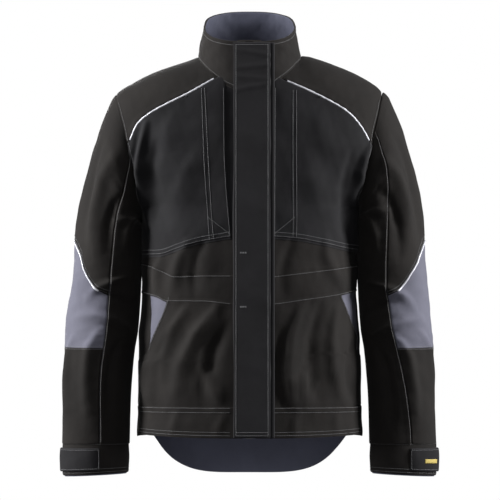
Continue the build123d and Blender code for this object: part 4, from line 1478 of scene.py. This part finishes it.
def flap_face(u, v, off=0.0):
    """Front face of the flap, creased over the collar and hollow between its edges."""
    share = (u - FLAP_FREE_X) / (FLAP_HINGE_X - FLAP_FREE_X)
    pillow = 0.9 * MM * np.sin(math.pi * np.clip(share, 0, 1)) ** 0.5
    collar = np.clip((110 * MM - v) / (60 * MM), 0, 1)
    wave = (0.7 + 0.8 * collar) * MM * ripple(u, v * 0.6, 0.07, 11.0)
    for place, tilt, size in ((18, 0.16, 1.6), (46, -0.10, 1.8), (66, 0.08, 1.3), (84, -0.2, 1.5)):
        crease = np.exp(-((v - place * MM - tilt * u) / (4.5 * MM)) ** 2)
        wave = wave + size * MM * crease * np.clip(1.1 - 0.5 * np.abs(share - 0.5), 0, 1)
    for place, size in ((180, 0.8), (300, 0.7), (470, 0.9), (600, 0.7)):
        wave = wave + size * MM * np.exp(-((v - place * MM - 0.3 * u) / (16 * MM)) ** 2)
    near_stitch = 0
    for edge in (FLAP_FREE_X + 5 * MM, FLAP_HINGE_X - 5 * MM):
        near_stitch = near_stitch - 0.55 * MM * np.exp(-((u - edge) / (1.6 * MM)) ** 2)
    sewn = np.clip((u - FLAP_HINGE_X + 6 * MM) / (6 * MM), 0, 1)
    return on_front(u, v, FLAP_LIFT - 2.0 * MM * sewn + pillow + wave + near_stitch + off)


def make_flap():
    height = TOP_Z - FLAP_LOW[2]
    length = height / math.cos(LEAN) - 1 * MM
    s = spaced(FLAP_HINGE_X - FLAP_FREE_X, 2.5 * MM)[None, :]
    t = spaced(length, 3 * MM)[:, None]
    wander = 0.8 * MM * np.sin(t * 9.0) + 0.5 * MM * np.sin(t * 23.0 + 1)
    u = FLAP_FREE_X + wander * (1 - s) + (FLAP_HINGE_X + 0.6 * MM - FLAP_FREE_X) * s
    v = 0.5 * MM + length * t + 0 * s
    face = flap_face(u, v)
    flap = cloth_patch("storm_flap_cloth", face, BLUE_BLACK, 2.4 * MM, roll=0.45)
    settle(flap, "storm_flap", "black_twill", "storm_flap")
    v_line = np.linspace(4 * MM, length - 4 * MM, 400)
    rows = [flap_face(FLAP_FREE_X + 5 * MM + 0 * v_line, v_line, 0.5 * MM),
            flap_face(FLAP_HINGE_X - 5 * MM + 0 * v_line, v_line, 0.5 * MM)]
    for v_end in (5 * MM, length - 3.5 * MM, length - 9.5 * MM):
        u_line = np.linspace(FLAP_FREE_X + 5 * MM, FLAP_HINGE_X - 5 * MM, 50)
        rows.append(flap_face(u_line, v_end + 0 * u_line, 0.2 * MM))
    stitch_mesh("flap_stitches", rows, "storm_flap")
    tacks = []
    for place in TACK_PLACES:
        for k in range(5):
            u_line = np.linspace(-18 * MM, -5 * MM, 20)
            tacks.append(flap_face(u_line, place + (k - 2) * 0.6 * MM + 0 * u_line, 0.1 * MM))
    stitch_mesh("flap_tacks", tacks, "storm_flap", radius=0.28 * MM)
    for name, body_name, node, depth in (("flap_hook_pile", "storm_flap", "flap_hook_pads", 3.9),
                                         ("flap_loop_pile", "torso", "flap_loop_pads", 2.4)):
        pieces = []
        t = np.linspace(0, 1, 12)[:, None]
        s = np.linspace(0, 1, 8)[None, :]
        for k in range(PAD_COUNT):
            v = PAD_TOP + PAD_STEP * k + PAD_LENGTH * t + 0 * s
            pad = on_front(-27 * MM + 14 * MM * s + 0 * t, v, depth * MM)
            pieces.append(cloth_patch(f"{name}_{k}", pad, TAPE, 1.0 * MM, roll=0.6))
        piece = join(pieces, name)
        settle(piece, body_name, "black_tape", node)
    t = spaced(length, 4 * MM)[:, None]
    s = spaced(9 * MM, 2 * MM, False)[None, :]
    u = 39.2 * MM + 7.5 * MM * s + 0 * t
    strip = cloth_patch("flap_seam_cloth", on_front(u, 0.5 * MM + length * t + 0 * s, 5.0 * MM),
                        BLUE_BLACK, 2.2 * MM, roll=0.6)
    settle(strip, "torso", "black_twill", "flap_seam_strip")


def join(pieces, name):
    """One object from several, keeping their materials and attributes."""
    bpy.ops.object.select_all(action="DESELECT")
    for piece in pieces:
        piece.select_set(True)
    bpy.context.view_layer.objects.active = pieces[0]
    bpy.ops.object.join()
    pieces[0].name = name
    return pieces[0]


def make_fly():
    """Woven zip tapes under the flap, and the guard behind the zip."""
    for side, word in SIDES:
        t = spaced(0.73, 4 * MM)[:, None]
        s = spaced(TAPE_WIDTH, 2 * MM, False)[None, :]
        u = side * (4.0 * MM + TAPE_WIDTH * s) + 0 * t
        v = TAPE_LENGTH * t + 1 * MM + 0 * s
        tape = cloth_patch(f"{word}_tape_cloth", on_front(u, v, 0.8 * MM), TAPE, 1.2 * MM, roll=0.4)
        settle(tape, "torso", "black_tape", f"{word}_zip_tape")
    t = spaced(0.745, 4 * MM)[:, None]
    s = spaced(GUARD_WIDTH, 3 * MM, False)[None, :]
    u = GUARD_WIDTH * (s - 0.5) + 0 * t
    v = -5 * MM + GUARD_LENGTH * t + 0 * s
    bend = -8.5 * MM + 0.8 * MM * ripple(u, v, 0.08, 12.0)
    guard = cloth_patch("zip_guard_cloth", on_front(u, v, bend), BROWN_BLACK, 1.8 * MM, roll=0.5)
    settle(guard, "torso", "black_twill", "zip_guard")


def make_loop():
    """Hanging loop inside the back of the collar."""
    middle = [(LOOP_LOW[k] + LOOP_HIGH[k]) / 2 for k in range(3)]
    half = (LOOP_HIGH[0] - LOOP_LOW[0]) / 2
    s = np.linspace(-1, 1, 50)[None, :]
    t = np.linspace(-1, 1, 9)[:, None]
    x = middle[0] + half * s + 0 * t
    drop = (LOOP_HIGH[1] - LOOP_LOW[1]) - 2.2 * MM
    y = LOOP_HIGH[1] - 1.0 * MM - drop * np.sqrt(np.clip(1 - s ** 2, 0, 1)) * 0.92 + 0 * t
    z = middle[2] + (LOOP_HIGH[2] - LOOP_LOW[2]) / 2 * 0.9 * t + 1.2 * MM * s ** 2 + 0 * s
    loop = cloth_patch("hang_loop_tape", np.stack([x, y, z], -1), TAPE, 1.4 * MM, roll=0.4)
    settle(loop, "torso", "black_tape", "hang_loop")


def make_piping():
    for side, word in SIDES:
        xs = np.linspace((66 if side < 0 else 70) * MM, 0.222, 120)
        path = on_body(side * xs, seam_z(YOKE_SEAM, side, xs), 0.7 * MM)
        piping = tube_mesh(f"{word}_yoke_cord", path, 1.7 * MM, PIPING)
        settle(piping, "torso", "reflective_piping", f"{word}_yoke_piping")


def make_torso_stitches():
    rows = []
    for side in (-1, 1):
        for table, gaps, first, last in (
                (POCKET_HEM, (3 * MM, 10 * MM), 36, 198),
                (LOWER_WAIST, (-2.2 * MM,), 36, 200), (UPPER_WAIST, (-2.2 * MM,), 36, 200)):
            xs = np.linspace(first, last, 160) * MM
            for gap in gaps:
                rows.append(on_body(side * xs, seam_z(table, side, xs) + gap, 1.3 * MM))
        xs = np.linspace(36, 203, 160) * MM
        for gap in (-2.5 * MM, -10.5 * MM):
            rows.append(on_body(side * xs, BAND_Z + gap + 0 * xs, 1.3 * MM))
        rows.append(on_body(side * xs, hem_edge(xs) + 5 * MM, 1.3 * MM))
        rows.append(on_body(side * xs, hem_edge(xs) + 11 * MM, 1.3 * MM))
        for line in CHEST_STITCH[side]:
            stations = np.array(line, float)[::-1] * MM
            zs = np.linspace(stations[0, 0], stations[-1, 0], 150)
            rows.append(on_body(side * smooth_steps(zs, stations[:, 0], stations[:, 1]), zs,
                                1.4 * MM))
        zs = np.linspace(-0.344, -0.07, 150)
        rows.append(on_body(side * (seam_x(ENTRY_EDGE, side, zs) + 3 * MM), zs, 1.4 * MM))
        (xa, za), (xb, zb) = TRIANGLE[side]
        share = np.linspace(0, 1, 30)
        rows.append(on_body(side * (xa + (xb - xa) * share) * MM, (za + (zb - za) * share) * MM,
                            1.4 * MM))
        zs = np.linspace(-0.556, LOWER_WAIST[side][-1][1] * MM - 18 * MM, 80)
        rows.append(on_body(side * (seam_x(HAND_MOUTH, side, zs) - 2.5 * MM), zs, 0.9 * MM))
        zs = np.linspace(-0.285, -0.098, 120)
        for behind in (False, True):
            rows.append(on_body(side * (armhole_x(zs) - 3.5 * MM), zs, 0.9 * MM, back=behind))
    for side in (-1, 1):
        xs = np.linspace(0, 0.20, 160)
        for z in (BAND_Z - 2.5 * MM, BAND_Z - 10.5 * MM, HEM_Z + 5 * MM):
            rows.append(on_body(side * xs, z + 0 * xs, 1.3 * MM, back=True))
        for gap in (3 * MM, 9 * MM):
            rows.append(on_body(side * xs, back_yoke_z(xs) + gap, 0.9 * MM, back=True))
    xs = np.linspace(-0.16, 0.16, 200)
    rows.append(on_body(xs, tail_edge(xs) + 5 * MM, -0.2 * MM, back=True))
    stitch_mesh("torso_stitches", rows, "torso")
    turns = np.linspace(0.12, 2 * math.pi - 0.12, 300)
    bottom = collar_bottom(turns)
    collar_rows = [collar_surface(turns, bottom + 4 * MM, 0.2 * MM),
                   collar_surface(turns, collar_top(turns) - 6 * MM, 0.2 * MM)]
    stitch_mesh("collar_stitches", collar_rows, "torso")


# ---------------------------------------------------------------- build the jacket

make_fronts()
make_backs()
make_lining()
make_collar()
make_sleeves()
make_cuffs()
make_flap()
make_fly()
make_loop()
make_piping()
make_torso_stitches()

for node, material in (("zip_teeth", PLASTIC), ("zip_end_stops", PLASTIC), ("zip_slider", METAL),
                       ("zip_pull", METAL)):
    cad = bpy.data.objects[node]
    cad.data.materials.clear()
    cad.data.materials.append(material)

# ---------------------------------------------------------------- camera, lights and world

scene = bpy.context.scene
LENS, SENSOR = 400, 36
VIEW_SIZE = 0.925                     # width of the view at the jacket's front
VIEW_MIDDLE = (0.001, -0.370)
FRONT_DEPTH = 0.11
camera_data = bpy.data.cameras.new("camera")
camera_data.sensor_width = SENSOR
camera_data.lens = LENS
camera = bpy.data.objects.new("camera", camera_data)
scene.collection.objects.link(camera)
DISTANCE = VIEW_SIZE * LENS / SENSOR
camera.location = (VIEW_MIDDLE[0], MID_Y - FRONT_DEPTH - DISTANCE, VIEW_MIDDLE[1])
camera.rotation_euler = (math.pi / 2, 0, 0)
scene.camera = camera


def area_light(name, place, aim, size, power):
    data = bpy.data.lights.new(name, "AREA")
    data.shape = "RECTANGLE"
    data.size, data.size_y = size
    data.energy = power
    lamp = bpy.data.objects.new(name, data)
    scene.collection.objects.link(lamp)
    lamp.location = place
    direction = np.array(aim) - np.array(place)
    yaw = math.atan2(direction[0], direction[1])
    pitch = math.atan2(direction[2], math.hypot(direction[0], direction[1]))
    lamp.rotation_euler = (math.pi / 2 + pitch, 0, -yaw)
    return lamp


MIDDLE = (0, MID_Y, -0.38)
stage = [
    area_light("left_side", (-2.1, -0.45, 0.3), MIDDLE, (0.5, 2.0), 175),
    area_light("right_side", (2.1, -0.50, 0.3), MIDDLE, (0.5, 2.0), 150),
    area_light("front_fill", (-0.3, -3.0, -1.1), MIDDLE, (0.9, 0.9), 24),
    area_light("back_fill", (-0.9, 3.0, 0.9), MIDDLE, (1.2, 1.2), 45),
    area_light("top_light", (0.0, -0.6, 1.9), MIDDLE, (1.2, 0.6), 16),
]
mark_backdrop(*stage)
world = bpy.data.worlds.new("world")
scene.world = world
world.use_nodes = True
tree = world.node_tree
ambient = tree.nodes["Background"]
ambient.inputs["Color"].default_value = (0.9, 0.92, 1.0, 1)
ambient.inputs["Strength"].default_value = 0.14
# White where the camera looks past the jacket, dim everywhere else
paper = add_node(tree, "ShaderNodeBackground", Color=(1.0, 1.0, 1.0, 1), Strength=1.0)
seen = add_node(tree, "ShaderNodeLightPath")
either = add_node(tree, "ShaderNodeMixShader")
tree.links.new(seen.outputs["Is Camera Ray"], either.inputs["Fac"])
tree.links.new(ambient.outputs["Background"], either.inputs[1])
tree.links.new(paper.outputs["Background"], either.inputs[2])
tree.links.new(either.outputs["Shader"], tree.nodes["World Output"].inputs["Surface"])
scene.view_settings.view_transform = "Standard"

low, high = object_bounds()
{"cad": [list(CAD_LOW), list(CAD_HIGH)], "model": [list(low), list(high)]}
